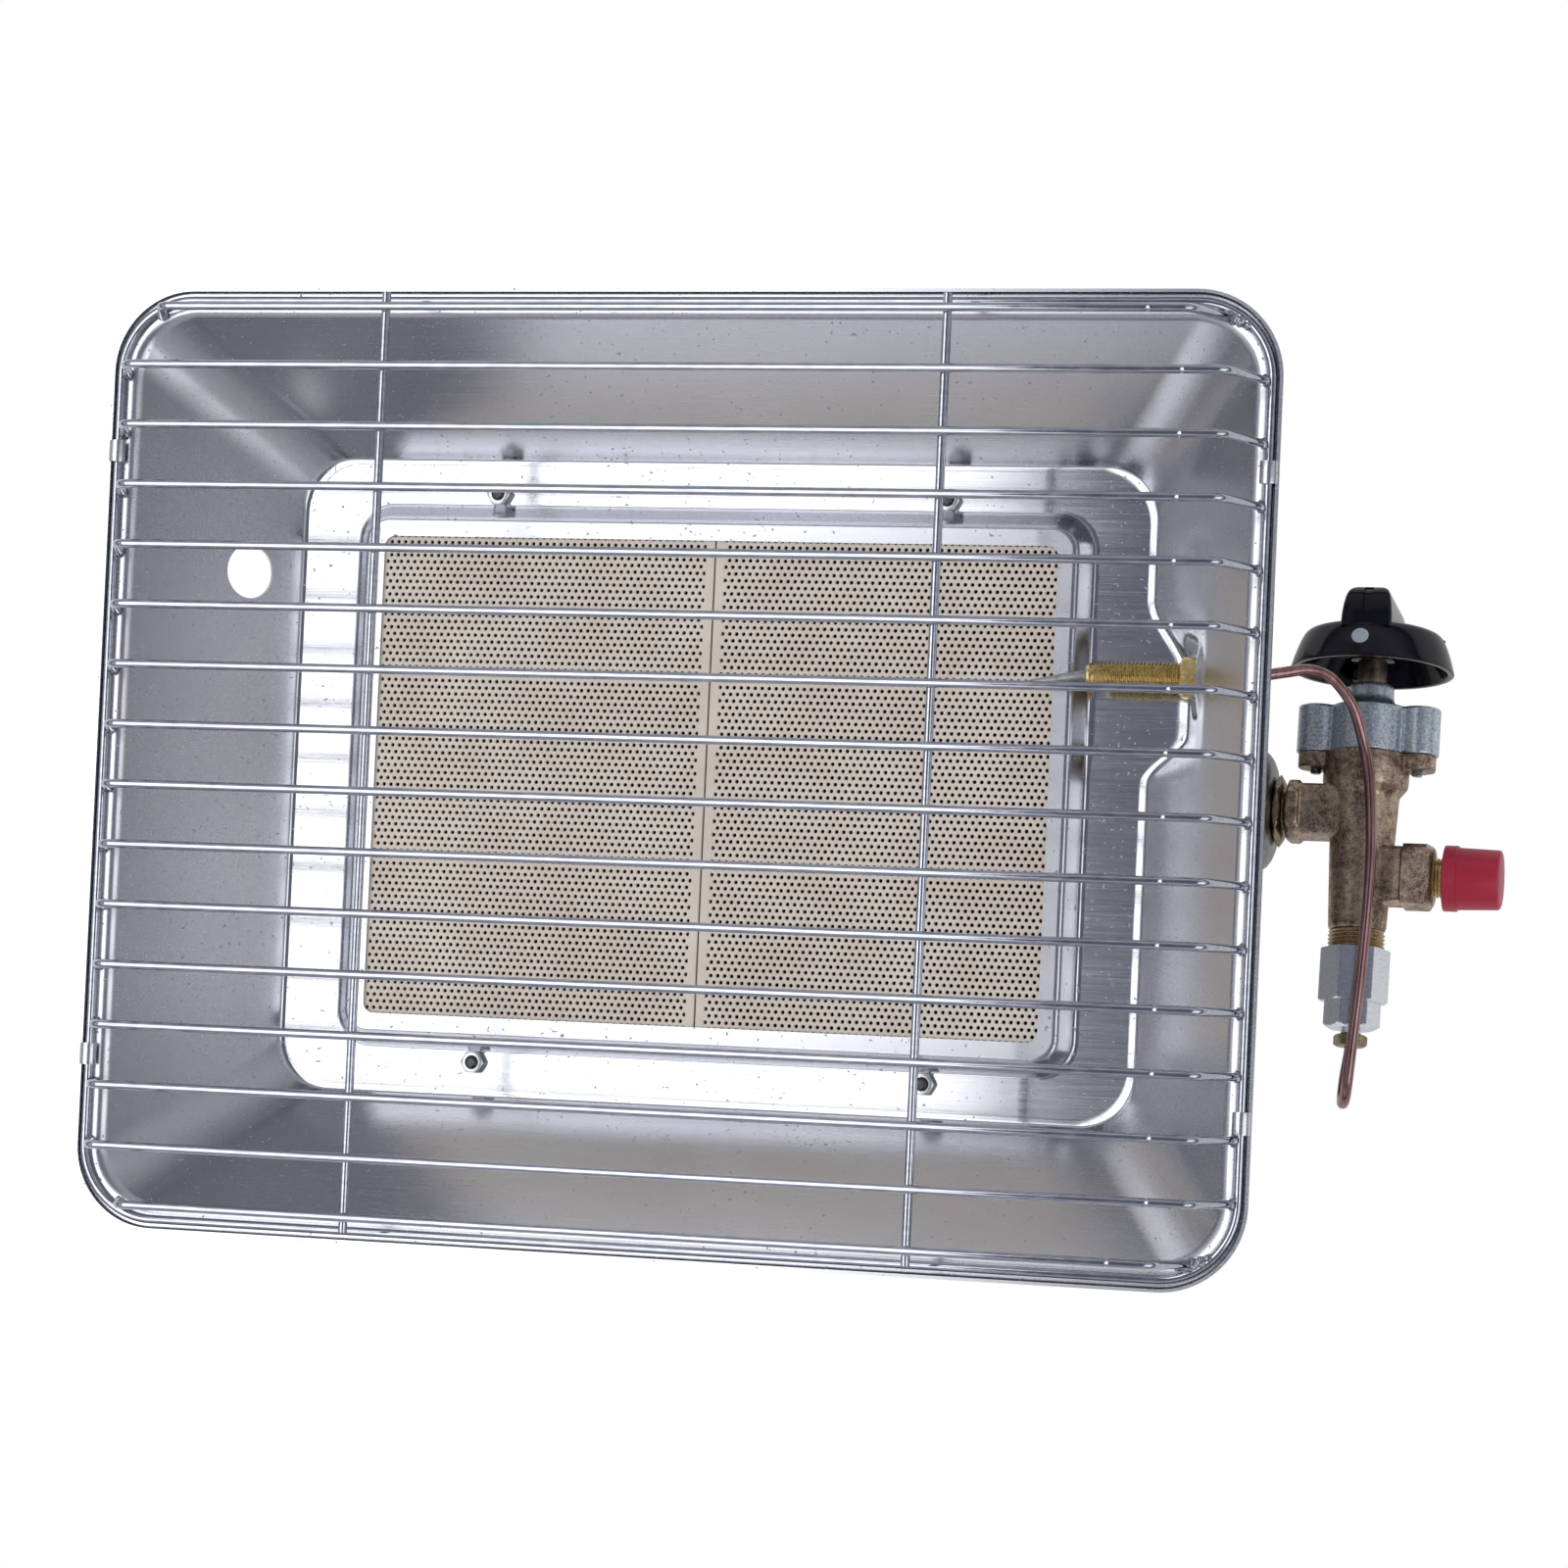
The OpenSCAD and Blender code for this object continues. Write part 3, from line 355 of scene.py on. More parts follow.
def blend(tree, share, first, second):
    """The first colour, turning into the second as the share rises to 1."""
    node = tree.nodes.new("ShaderNodeMix")
    node.data_type = "RGBA"
    tree.links.new(share, node.inputs["Factor"])
    tree.links.new(first, node.inputs[6])
    node.inputs[7].default_value = (*second, 1)
    return node.outputs[2]


def bumped(tree, shader, height, strength, distance):
    """Gives the shader a relief of the given depth in metres."""
    b = tree.nodes.new("ShaderNodeBump")
    b.inputs["Strength"].default_value = strength
    b.inputs["Distance"].default_value = distance
    tree.links.new(height, b.inputs["Height"])
    tree.links.new(b.outputs["Normal"], shader.inputs["Normal"])


def metal(name, colours, rough, grain, bump=0.0, stretch=(1, 1, 1), metallic=1.0):
    """A metal whose colour and roughness drift with noise of the given grain a metre, stretched per axis."""
    m, tree, shader = new_material(name)
    value = noise(tree, coordinates(tree, stretch), grain)
    tree.links.new(between(tree, value, colours), shader.inputs["Base Color"])
    tree.links.new(spread(tree, value, *rough), shader.inputs["Roughness"])
    shader.inputs["Metallic"].default_value = metallic
    if bump:
        bumped(tree, shader, value, bump, RELIEF)
    return m


def plastic(name, colour, rough, wear=0.25, grain=900.0, bump=0.15, shine=0.5):
    """A moulded plastic: fine grain in its skin, and paler, duller scuffs where it has been handled."""
    m, tree, shader = new_material(name)
    vector = coordinates(tree)
    skin = noise(tree, vector, grain)
    scuffs = noise(tree, coordinates(tree, (1, 4, 1), (0.3, 0.2, 0.5)), 160.0, 8.0, 0.75)
    worn = spread(tree, scuffs, 0.0, 1.0, 0.56, 0.72)
    pale = tuple(c + wear * (0.35 - 0.3 * c) * 0.25 for c in colour)
    tree.links.new(between(tree, worn, [colour, pale], 0.0, 1.0), shader.inputs["Base Color"])
    scuffed = maths(tree, "MULTIPLY_ADD", worn, wear, rough)
    tree.links.new(maths(tree, "ADD", scuffed, spread(tree, skin, -0.04, 0.04)), shader.inputs["Roughness"])
    shader.inputs["Specular IOR Level"].default_value = shine
    bumped(tree, shader, skin, bump, FINE_RELIEF)
    return m


def brushed_sheet(name, colours, rough):
    """
    Rolled aluminium: fine lines along X, cloudy patches and specks of dust.

    The share called drawn rises over the wall's foot, so that the drawn walls are duller than the floor.
    """
    m, tree, shader = new_material(name)
    place = tree.nodes.new("ShaderNodeSeparateXYZ")
    tree.links.new(coordinates(tree), place.inputs[0])
    drawn = spread(tree, place.outputs["Z"], 0.0, 0.13, 0.0497, 0.0545)
    lines = noise(tree, coordinates(tree, (0.015, 1, 1)), 2500.0, 4.0, 0.6)
    clouds = noise(tree, coordinates(tree), 16.0, 3.0, 0.5)
    dust = spread(tree, noise(tree, coordinates(tree), 900.0, 1.0, 0.4), 0.0, 1.0, 0.725, 0.75)
    tone = maths(tree, "MULTIPLY_ADD", lines, 0.35, maths(tree, "MULTIPLY", clouds, 0.65))
    plain = between(tree, tone, colours)
    tree.links.new(blend(tree, dust, plain, (0.40, 0.40, 0.42)), shader.inputs["Base Color"])
    grain = maths(tree, "ADD", spread(tree, lines, *rough), spread(tree, clouds, 0.0, 0.03))
    grain = maths(tree, "ADD", grain, drawn)
    tree.links.new(maths(tree, "MULTIPLY_ADD", dust, 0.4, grain), shader.inputs["Roughness"])
    tree.links.new(maths(tree, "MULTIPLY_ADD", dust, -0.8, 1.0), shader.inputs["Metallic"])
    bumped(tree, shader, lines, 0.35, FINE_RELIEF)
    return m


def cast_brass(name):
    """Brass that has browned unevenly: fine sandy grain, dark spots and wide stains."""
    m, tree, shader = new_material(name)
    vector = coordinates(tree)
    grain = noise(tree, vector, 2400.0, 3.0, 0.6)
    spots = noise(tree, vector, 620.0, 5.0, 0.7)
    stains = noise(tree, vector, 130.0, 3.0, 0.5)
    tone = maths(tree, "MULTIPLY_ADD", spots, 0.40, maths(tree, "MULTIPLY", stains, 0.35))
    tone = maths(tree, "MULTIPLY_ADD", grain, 0.35, maths(tree, "SUBTRACT", tone, 0.05))
    colours = [(0.135, 0.095, 0.075), (0.40, 0.30, 0.235), (0.65, 0.51, 0.35)]
    tree.links.new(between(tree, tone, colours, 0.42, 0.59), shader.inputs["Base Color"])
    tree.links.new(spread(tree, tone, 0.52, 0.32), shader.inputs["Roughness"])
    shader.inputs["Metallic"].default_value = 1.0
    bumped(tree, shader, grain, 0.5, RELIEF)
    return m


def pressed_fibre(name):
    """White ceramic fibre board: matted, pale grey to cream, with a soft felt relief."""
    m, tree, shader = new_material(name)
    felt = noise(tree, coordinates(tree, (1, 1, 3)), 500.0, 6.0, 0.7)
    tree.links.new(between(tree, felt, [(0.60, 0.58, 0.53), (0.76, 0.74, 0.69)]), shader.inputs["Base Color"])
    shader.inputs["Roughness"].default_value = 0.95
    bumped(tree, shader, felt, 0.5, 0.0002)
    return m


sheet_metal = brushed_sheet("pressed aluminium", [(0.55, 0.56, 0.595), (0.62, 0.63, 0.66)], (0.07, 0.13))
bright = [(0.38, 0.40, 0.45), (0.50, 0.52, 0.57)]
wire_metal = metal("bright wire", bright, (0.05, 0.10), 900.0, 0.1, (0.2, 1, 1))
plated = metal("zinc plating", [(0.58, 0.59, 0.61), (0.70, 0.71, 0.73)], (0.25, 0.38), 500.0, 0.1)
box_metal = metal("box steel", [(0.40, 0.41, 0.43), (0.46, 0.47, 0.49)], (0.35, 0.45), 80.0)
turned_brass = metal("turned brass", [(0.46, 0.34, 0.13), (0.66, 0.52, 0.24)], (0.20, 0.32), 700.0)
dull_brass = metal("dull brass", [(0.17, 0.13, 0.09), (0.38, 0.31, 0.19)], (0.24, 0.36), 900.0)
thread_brass = metal("thread brass", [(0.36, 0.26, 0.15), (0.52, 0.40, 0.24)], (0.25, 0.36), 900.0)
dark_brass = cast_brass("pressed brass")
spindle_brass = metal("spindle brass", [(0.40, 0.33, 0.25), (0.56, 0.47, 0.36)], (0.25, 0.35), 300.0)
bluish = [(0.36, 0.41, 0.46), (0.70, 0.77, 0.83)]
zinc = metal("zinc casting", bluish, (0.26, 0.40), 1500.0, 0.35, metallic=0.82)
browned = [(0.22, 0.12, 0.115), (0.36, 0.215, 0.205)]
copper = metal("drawn copper", browned, (0.12, 0.20), 500.0, 0.05, (1, 0.15, 1))
dull_plating = metal("dull plating", [(0.20, 0.20, 0.195), (0.36, 0.36, 0.35)], (0.25, 0.38), 500.0, 0.1)
bright_plating = metal("bright plating", [(0.66, 0.68, 0.71), (0.84, 0.85, 0.87)], (0.13, 0.20), 1600.0, 0.10)
weld_metal = metal("weld", [(0.26, 0.27, 0.30), (0.50, 0.51, 0.55)], (0.18, 0.34), 1200.0, 0.4)
blackened = metal("blackened steel", [(0.04, 0.04, 0.045), (0.10, 0.10, 0.11)], (0.28, 0.42), 900.0, 0.2)
probe_steel = metal("probe steel", [(0.22, 0.22, 0.22), (0.40, 0.40, 0.40)], (0.30, 0.45), 600.0)
black_gloss = plastic("black knob", (0.0025, 0.0025, 0.008), 0.13, 0.12, shine=0.28)
dot_paint = plastic("index dot", (0.55, 0.66, 0.74), 0.35, 0.1)
red_plastic = plastic("red cap", (0.46, 0.014, 0.045), 0.40, 0.2, 700.0, 0.3)
fibre = pressed_fibre("seal fibre")


def ceramic():
    """Pale pink ceramic, cloudy and finely pitted, with painted shade that darkens the inside of its holes from
    1 mm below the face.
    """
    m, tree, shader = new_material("burner ceramic")
    vector = coordinates(tree)
    clouds = noise(tree, vector, 45.0, 6.0, 0.65)
    pits = noise(tree, vector, 2600.0, 3.0, 0.6)
    field = between(tree, clouds, [(0.76, 0.67, 0.58), (0.87, 0.79, 0.69)], 0.35, 0.65)
    place = tree.nodes.new("ShaderNodeSeparateXYZ")
    tree.links.new(vector, place.inputs[0])
    # Painted shade: from 1 mm below the face the colour turns near black down inside the holes, where shade
    # falls.
    inside = spread(tree, place.outputs["Z"], 1.0, 0.0, 0.0516, 0.0528)
    tree.links.new(blend(tree, inside, field, (0.06, 0.045, 0.04)), shader.inputs["Base Color"])
    shader.inputs["Roughness"].default_value = 0.95
    shader.inputs["Specular IOR Level"].default_value = 0.2
    bumped(tree, shader, pits, 0.3, 0.00006)
    return m


ceramic_face = ceramic()


# ---------------------------------------------------------------- pressed tray

# Half sizes and corner radius of the wall at its foot and at the rim, its height, and its lean: outward a
# millimetre up, and height a millimetre along it.
FOOT_X, FOOT_Y, FOOT_R = 114.1, 83, 14
RIM_X, RIM_Y, RIM_R = 145.2, 114.4, 15.3
WALL_H = 43.6
WALL_LEAN = (RIM_X - FOOT_X) / WALL_H
WALL_RUN = 1 / math.hypot(1, WALL_LEAN)

# The round hole in the left wall: grid lines of half size HOLE_IN are drawn out to radius HOLE_R, and the
# lines from HOLE_OUT on stay straight.
HOLE_IN, HOLE_OUT, HOLE_R = 5, 11, 7


def tray_columns():
    """Where the columns lie: sign of x, sign of y, angle in the corner, and a side column's y or nan."""
    arc = np.linspace(0, np.pi / 2, 19)
    right = np.concatenate([np.linspace(-64, -8, 6)[:-1], np.arange(-8, 60.1, 1.15), [64]])
    by_hole = np.arange(HOLE_Y + HOLE_OUT, HOLE_Y - HOLE_OUT - 0.1, -1)
    left = np.concatenate([by_hole, np.linspace(36, -64, 7)])
    kinds = [np.stack([0 * right + 1, 0 * right, 0 * right, right], -1)]
    for k, (sx, sy) in enumerate([(1, 1), (-1, 1), (-1, -1), (1, -1)]):
        a = arc + k * np.pi / 2
        kinds.append(np.stack([0 * a + sx, 0 * a + sy, a, a + np.nan], -1))
        if k == 1:
            kinds.append(np.stack([0 * left - 1, 0 * left, 0 * left, left], -1))
    return np.concatenate(kinds)


def wall_level(h):
    """
    The wall's half sizes, corner radius, height and share of the pocket at heights h above the floor.

    Sizes and radius go in step with the height from those of the foot to those of the rim.
    """
    h = np.asarray(h, float)
    t = h / WALL_H
    across = [FOOT_X + (RIM_X - FOOT_X) * t, FOOT_Y + (RIM_Y - FOOT_Y) * t, FOOT_R + (RIM_R - FOOT_R) * t]
    return np.stack([*across, FLOOR_Z + h, 1 + 0 * t], -1)


def tray_rows():
    """
    The section over the top, from the window's edge over the raised frame, floor and wall to the rim's lip.

    Each row holds half sizes, corner radius, height and share of the pocket; its corners are rounded.
    """
    hole = HOLE_Z - FLOOR_Z + np.arange(-HOLE_OUT, HOLE_OUT + 1) * WALL_RUN
    levels = wall_level(np.concatenate([np.linspace(1.2, 4.1, 4), hole, np.arange(24, 41, 1.7)]))
    lip = [(90, 62.5, 2.8, 0, 0), (94.7, 67.2, 5.8, 0, 0), (98.5, 71, 9.5, FLOOR_Z, 0)]
    foot = [(FOOT_X, FOOT_Y, FOOT_R, FLOOR_Z, 1)]
    brim = [(RIM_X, RIM_Y, RIM_R, FLANGE_Z, 1), (150.6, 119.8, 20.7, FLANGE_Z, 1)]
    edge = [(150.6, 119.8, 20.7, FLANGE_Z + 1.7, 1)]
    corners = np.concatenate([lip, foot, levels, brim, edge])
    cuts = np.concatenate([[1.0, 1.0, 1.9], np.zeros(len(levels)), [2.0, 0.8]])
    return held(rounded(corners, cuts, steps=6, plane=(0, 3)))


# How far the sensor pocket is pushed out at its foot, and how high it reaches.
POCKET_DEPTH = 9.8
POCKET_H = 24.7


def tray_top(rows, columns):
    """
    A rounded rectangle per row: x = hx - r + r cos a and y = hy - r + r sin a in the corners.

    On the right side x grows by the pocket's push, and blends into the flat seat's x near the sensor.
    """
    hx, hy, r, z, share = (rows[:, k, None] for k in range(5))
    sx, sy, a, y = (columns[None, :, k] for k in range(4))
    on_side = ~np.isnan(y)
    yy = np.nan_to_num(y) * np.minimum(1, (hy - r) / 69)
    px = np.where(on_side, sx * hx, sx * (hx - r) + r * np.cos(a))
    py = np.where(on_side, yy, sy * (hy - r) + r * np.sin(a))
    pz = z + 0 * px
    h = pz - FLOOR_Z
    along_wall = smooth_step((yy - 3.6) / 12.4) * (1 - smooth_step((yy - 30) / 20))
    push = POCKET_DEPTH * along_wall * np.clip(1 - h / POCKET_H, 0, 1)
    seat = 1 - smooth_step((np.hypot(yy - SENSOR_Y, h - 13.7) - 8.4) / 2.7)
    moved = px + share * push
    moved = moved + np.where(share > 0.99, seat, 0) * (SEAT_X - moved)
    px = np.where(on_side & (sx > 0), moved, px)
    return np.stack([px, py, pz], -1)


def round_the_hole(top, rows, columns):
    """
    Draws the square of grid lines round the left wall's hole onto its circle.

    A point at distance m along the larger of its two directions goes to a circle of HOLE_R where m is
    HOLE_IN, and back to its square by HOLE_OUT.
    """
    on_left = (~np.isnan(columns[:, 3]) & (columns[:, 0] < 0))[None, :] & (rows[:, 4] > 0.99)[:, None]
    middle = np.array([-(FOOT_X + WALL_LEAN * (HOLE_Z - FLOOR_Z)), HOLE_Y, HOLE_Z])
    up = np.array([-WALL_LEAN * WALL_RUN, 0, WALL_RUN])
    u, v = top[..., 1] - HOLE_Y, (top - middle) @ up
    m = np.maximum(np.maximum(abs(u), abs(v)), 1e-6)
    near = on_left & (m < HOLE_OUT - 1e-3)
    k = np.clip((m - HOLE_IN) / (HOLE_OUT - HOLE_IN), 0, 1)
    reach = (HOLE_R + (HOLE_OUT - HOLE_R) * k) * ((1 - k) / np.hypot(u, v) + k / m)
    moved = middle + (u * reach)[..., None] * (0, 1, 0) + (v * reach)[..., None] * up
    return np.where(near[..., None], moved, top), on_left & (m < HOLE_IN + 1e-3)


def pressed_sheet():
    """
    The tray as one sheet: its upper side, and the same grid moved down the normals by the sheet's thickness.

    The two are joined round the window, round the lip and round the hole.
    """
    rows, columns = tray_rows(), tray_columns()
    top = tray_top(rows, columns)
    along = np.gradient(top, axis=0)
    round_about = np.roll(top, -1, 1) - np.roll(top, 1, 1)
    normal = np.cross(along, round_about)
    normal /= np.linalg.norm(normal, axis=-1, keepdims=True)
    top, hollow = round_the_hole(top, rows, columns)
    under = top - SHEET * normal
    n, cols = top.shape[:2]
    faces = grid_faces(2 * n, cols, wrap_rows=True).reshape(2 * n, cols, 4)
    i, j = np.nonzero(hollow)
    i0, i1, j0, j1 = i.min(), i.max(), j.min(), j.max()
    keep = np.ones((2 * n, cols), bool)
    keep[i0:i1, j0:j1] = False
    keep[2 * n - 1 - i1 : 2 * n - 1 - i0, j0:j1] = False
    di, dj = i1 - i0, j1 - j0
    ring_i = i0 + np.r_[np.arange(di), np.full(dj, di), np.arange(di, 0, -1), np.zeros(dj, int)]
    ring_j = j0 + np.r_[np.zeros(di, int), np.arange(dj), np.full(di, dj), np.arange(dj, 0, -1)]
    over = ring_i * cols + ring_j
    below = (2 * n - 1 - ring_i) * cols + ring_j
    edge = np.stack([over, np.roll(over, -1), np.roll(below, -1), below], -1)
    return np.concatenate([top, under[::-1]]), faces[keep], edge


def rim_tab(side, y):
    """
    A strip of the rim bent over the hoop.

    Its section is carried round the hoop's middle, from 8 degrees below level outside to 28 above it inside.
    """
    a = np.radians(np.linspace(-8, 152, 25))[:, None]
    w, t = 2.75, 0.325
    section = np.array([(-w, -t), (w, -t), (w, t), (-w, t)])
    ring = np.concatenate([section, section[:1]])
    steps = np.linspace(0.06, 0.94, 4)[:, None]
    loop = np.concatenate([ring[k] + (ring[k + 1] - ring[k]) * steps for k in range(4)])
    r = 2.075 + loop[None, :, 1]
    x = side * (HOOP_X + r * np.cos(a))
    return closed_ends(np.stack([x, y + loop[None, :, 0] + 0 * a, HOOP_Z + r * np.sin(a)], -1))


points, faces, hole_edge = pressed_sheet()
mesh_of(
    "tray_skin",
    points,
    faces,
    hole_edge,
    material=sheet_metal,
    stands_for=("tray",),
    slot="tray",
    sharp=50,
    merge=False,
)
TABS = [(-1, 78.6), (-1, -76.1), (1, 76.4), (1, -79.3)]
tabs = [(rim_tab(side, y), False) for side, y in TABS]
mesh_of("rim_tabs", *many(*tabs), material=sheet_metal, slot="tray")


# ---------------------------------------------------------------- guard of wires

# The nick that the bending tool leaves: places before the end of the straight, and depths.
NICK = np.array([-8.8, -8.3, -8.1, -7.9, -7.7, -7.5, -7.0])
NICK_DEPTH = np.array([0, 0, 0.05, 0.12, 0.05, 0, 0])

# The bends' radius, the angle in degrees by which a leg drops, and the leg's length.
BEND_R = 4
LEG_DROP = 69.5
LEG = 15.9


def bar_path(half, y):
    """
    A wire's middle: a straight, and at each end a bend and a straight leg down to the hoop.

    The bend is half + r sin a across and r cos a up; extra points on the right take the nick.
    """
    a = np.radians(np.linspace(0, LEG_DROP, 10))
    bend = np.stack([half + BEND_R * np.sin(a), 0 * a + y, BAR_Z - BEND_R + BEND_R * np.cos(a)], -1)
    foot = bend[-1] + LEG * np.array([math.cos(a[-1]), 0, -math.sin(a[-1])])
    end = np.concatenate([bend, foot + (bend[-1] - foot) * np.array([[0.5], [0.04], [0]])])
    nick = np.column_stack([half + NICK, 0 * NICK + y, 0 * NICK + BAR_Z])
    return np.concatenate([end[::-1] * (-1, 1, 1), nick, end])


def bar_wire(half, y):
    """A guard bar: its radius is the wire's, less the nick near the right bend."""
    path = bar_path(half, y)
    radius = np.full(len(path), WIRE)
    first = (len(path) - len(NICK)) // 2
    radius[first : first + len(NICK)] -= NICK_DEPTH
    return closed_ends(swept(path, radius, 20, (0, 1, 0)), 0.25)


def weld_bead(x, y, z, size, turn):
    """
    A lumpy drop of weld, a ball stretched to the given size.

    Its radius is 1 + (0.12 sin(3 t + turn) cos 2u + 0.08 cos 5t sin 3u) sin u.
    """
    u = np.linspace(0, np.pi, 13)[:, None]
    t = np.arange(24)[None] * np.pi / 12
    r = 1 + (0.12 * np.sin(3 * t + turn) * np.cos(2 * u) + 0.08 * np.cos(5 * t) * np.sin(3 * u)) * np.sin(u)
    ball = np.stack([r * np.sin(u) * np.cos(t), r * np.sin(u) * np.sin(t), r * np.cos(u) + 0 * t], -1)
    return ball * size + np.array([x, y, z])


def hoop_path():
    """A level rounded rectangle: the corners' middles plus R cos a and R sin a."""
    a = np.linspace(0, np.pi / 2, 25)
    corner = np.stack([HOOP_R * np.cos(a), HOOP_R * np.sin(a)], -1)
    turns = [corner * (1, 1), corner[::-1] * (-1, 1), corner * (-1, -1), corner[::-1] * (1, -1)]
    shift = np.array([(1, 1), (-1, 1), (-1, -1), (1, -1)]) * (HOOP_X - HOOP_R, HOOP_Y - HOOP_R)
    loop = np.concatenate([t + m for t, m in zip(turns, shift)])
    return np.column_stack([loop, np.full(len(loop), HOOP_Z)])


def guard_beads():
    """Beads at the bars' feet, and a run of them at the feet of either end bar."""
    beads = [(weld_bead(s * 147.3, y, 40.1, (1.15, 1.5, 1.0), y * s), False) for y in BAR_YS for s in (-1, 1)]
    run = [(-1.6, 0.6, 1.3), (0, 0, 1.6), (1.9, -0.6, 1.45), (3.9, -1.7, 1.1), (-3.6, 0.9, 0.9)]
    for s in (-1, 1):
        for k, (dx, dy, r) in enumerate(run):
            size = (r * 1.2, r, r * 0.9)
            beads.append((weld_bead(138.6 + dx, s * (BEAD_Y + dy), 40.4, size, k + s), False))
        beads.append((weld_bead(-138.4, s * BEAD_Y, 40.1, (1.5, 1.2, 1.0), s), False))
    return beads


BAR_YS = [s * BAR_PITCH * (k + 0.5) for k in range(7) for s in (-1, 1)]
BAR_HALF = 137.7
END_BAR_HALF = 128.8
END_BAR_Y = 113.3
BEAD_Y = 113.4
TIE_X = 71.8
TIE_Z = 55.32
TIE_HALF = 117
long_bars = [bar_wire(BAR_HALF, y) for y in BAR_YS]
piece("guard_bar_wires", long_bars, wire_metal, "guard_bars", "chrome_wire")
end_bars = [bar_wire(END_BAR_HALF, s * END_BAR_Y) for s in (-1, 1)]
piece("guard_end_wires", end_bars, wire_metal, "guard_end_bars", "chrome_wire")
hoop = swept(hoop_path(), WIRE, 20, loop=True)
piece("guard_hoop_wire", [hoop], wire_metal, "guard_hoop", "chrome_wire", closed=True)
ties = []
for x in (-TIE_X, TIE_X):
    line = np.array([x, 0, TIE_Z]) + np.linspace(-TIE_HALF, TIE_HALF, 9)[:, None] * (0, 1, 0)
    ties.append(closed_ends(swept(line, WIRE, 20), 0.25))
piece("guard_tie_wires", ties, wire_metal, "guard_ties", "chrome_wire")
mesh_of("guard_weld_beads", *many(*guard_beads()), material=weld_metal, slot="chrome_wire")


# ---------------------------------------------------------------- burner plates

# The holes' pitch along a line and between lines, holes in a line and lines in a plate, a hole's radius and
# depth, and how far down the pierced face's outline is carried, past the holes' ends.
PITCH_X, PITCH_Y, HOLES, LINES = 1.86, 1.72, 47, 76
PORE_RADIUS = 0.525
PORE_DEPTH = 3.0
SKIRT = 3.5

# A plate's middle, its half sizes, the height of its back and the half depth of its field of holes.
PLATE_X = 46.1
PLATE_HALF_X = 45.88
PLATE_HALF_Y = 65.98
PLATE_BACK = -13.85
FIELD_HALF_Y = 65.0


def plate_cells():
    """
    One plate's face: hexagonal cells in offset lines, each dished into a hole of twelve sides.

    A hole's middle is at (place + half a pitch on odd lines) x PITCH_X, line x PITCH_Y; blank cells fill the
    ends of the lines.
    """
    line, place = np.meshgrid(np.arange(LINES), np.arange(-1, HOLES + 1), indexing="ij")
    odd = line % 2
    x = (place - (HOLES - 1) / 2 + odd * 0.5 - 0.25) * PITCH_X
    y = (line - (LINES - 1) / 2) * PITCH_Y
    open_cell = (place >= 0) & (place < HOLES)
    blank = ((place == -1) & (odd == 1)) | ((place == HOLES) & (odd == 0))
    t6 = np.radians(np.arange(6) * 60 + 30)
    t12 = np.radians(np.arange(12) * 30 + 30)
    corner = np.stack([PITCH_X / math.sqrt(3) * np.cos(t6), PITCH_Y * 2 / 3 * np.sin(t6), 0 * t6], -1)
    ring = PORE_RADIUS * np.stack([np.cos(t12), np.sin(t12), 0 * t12], -1) - (0, 0, 0.13)
    deep = ring * (0.97, 0.97, 0) - (0, 0, PORE_DEPTH)
    cell = np.concatenate([corner, ring, deep])
    middles = np.stack([x, y, 0 * x], -1)
    cells = middles[open_cell][:, None] + cell
    k = np.arange(6)
    k2 = (k + 1) % 6
    fans = np.concatenate(
        [
            np.stack([k, 6 + 2 * k, 6 + 2 * k + 1], -1),
            np.stack([k, 6 + 2 * k + 1, k2], -1),
            np.stack([k2, 6 + 2 * k + 1, 6 + 2 * k2], -1),
        ]
    )
    j = np.arange(12)
    wall = np.stack([6 + j, 18 + j, 18 + (j + 1) % 12, 6 + (j + 1) % 12], -1)
    first = (np.arange(len(cells)) * 30)[:, None, None]
    blanks = middles[blank][:, None] + corner
    hexes = (len(cells) * 30 + np.arange(len(blanks)) * 6)[:, None] + np.arange(6)
    points = np.concatenate([cells.reshape(-1, 3), blanks.reshape(-1, 3)])
    _, one, back = np.unique(np.round(points, 3), axis=0, return_index=True, return_inverse=True)
    back = back.ravel()
    tris = back[(fans + first).reshape(-1, 3)]
    quads = back[(wall + first).reshape(-1, 4)]
    floors = back[(18 + np.arange(12) + first[..., 0]).reshape(-1, 12)]
    hexes = back[hexes]
    return points[one], tris, quads, floors, hexes


def rim_edges(*faces):
    """The edges that only one of the faces uses, each in that face's direction: the outline of the field."""
    e = np.concatenate([f[:, [k, (k + 1) % f.shape[1]]] for f in faces for k in range(f.shape[1])])
    key = np.sort(e, 1)
    _, which, count = np.unique(key, axis=0, return_inverse=True, return_counts=True)
    return e[count[which.ravel()] == 1]


def box_grid(x0, x1, y0, y1, z0, z1, soft=0.12):
    """A block with its edges cut: four loops of eight points."""
    x = np.array([x0, x0 + soft, x1 - soft, x1])[[1, 2, 3, 3, 2, 1, 0, 0]]
    y = np.array([y0, y0 + soft, y1 - soft, y1])[[0, 0, 1, 2, 3, 3, 2, 1]]
    loop = np.stack([x, y], -1)
    mid = np.array([(x0 + x1) / 2, (y0 + y1) / 2])
    pole = mid + 0 * loop
    inset = mid + (loop - mid) * (1 - 2 * soft / np.array([x1 - x0, y1 - y0]))
    level = [(pole, z0), (inset, z0), (loop, z0 + soft), (loop, z1 - soft), (inset, z1), (pole, z1)]
    return np.stack([np.column_stack([p, np.full(8, z)]) for p, z in level])


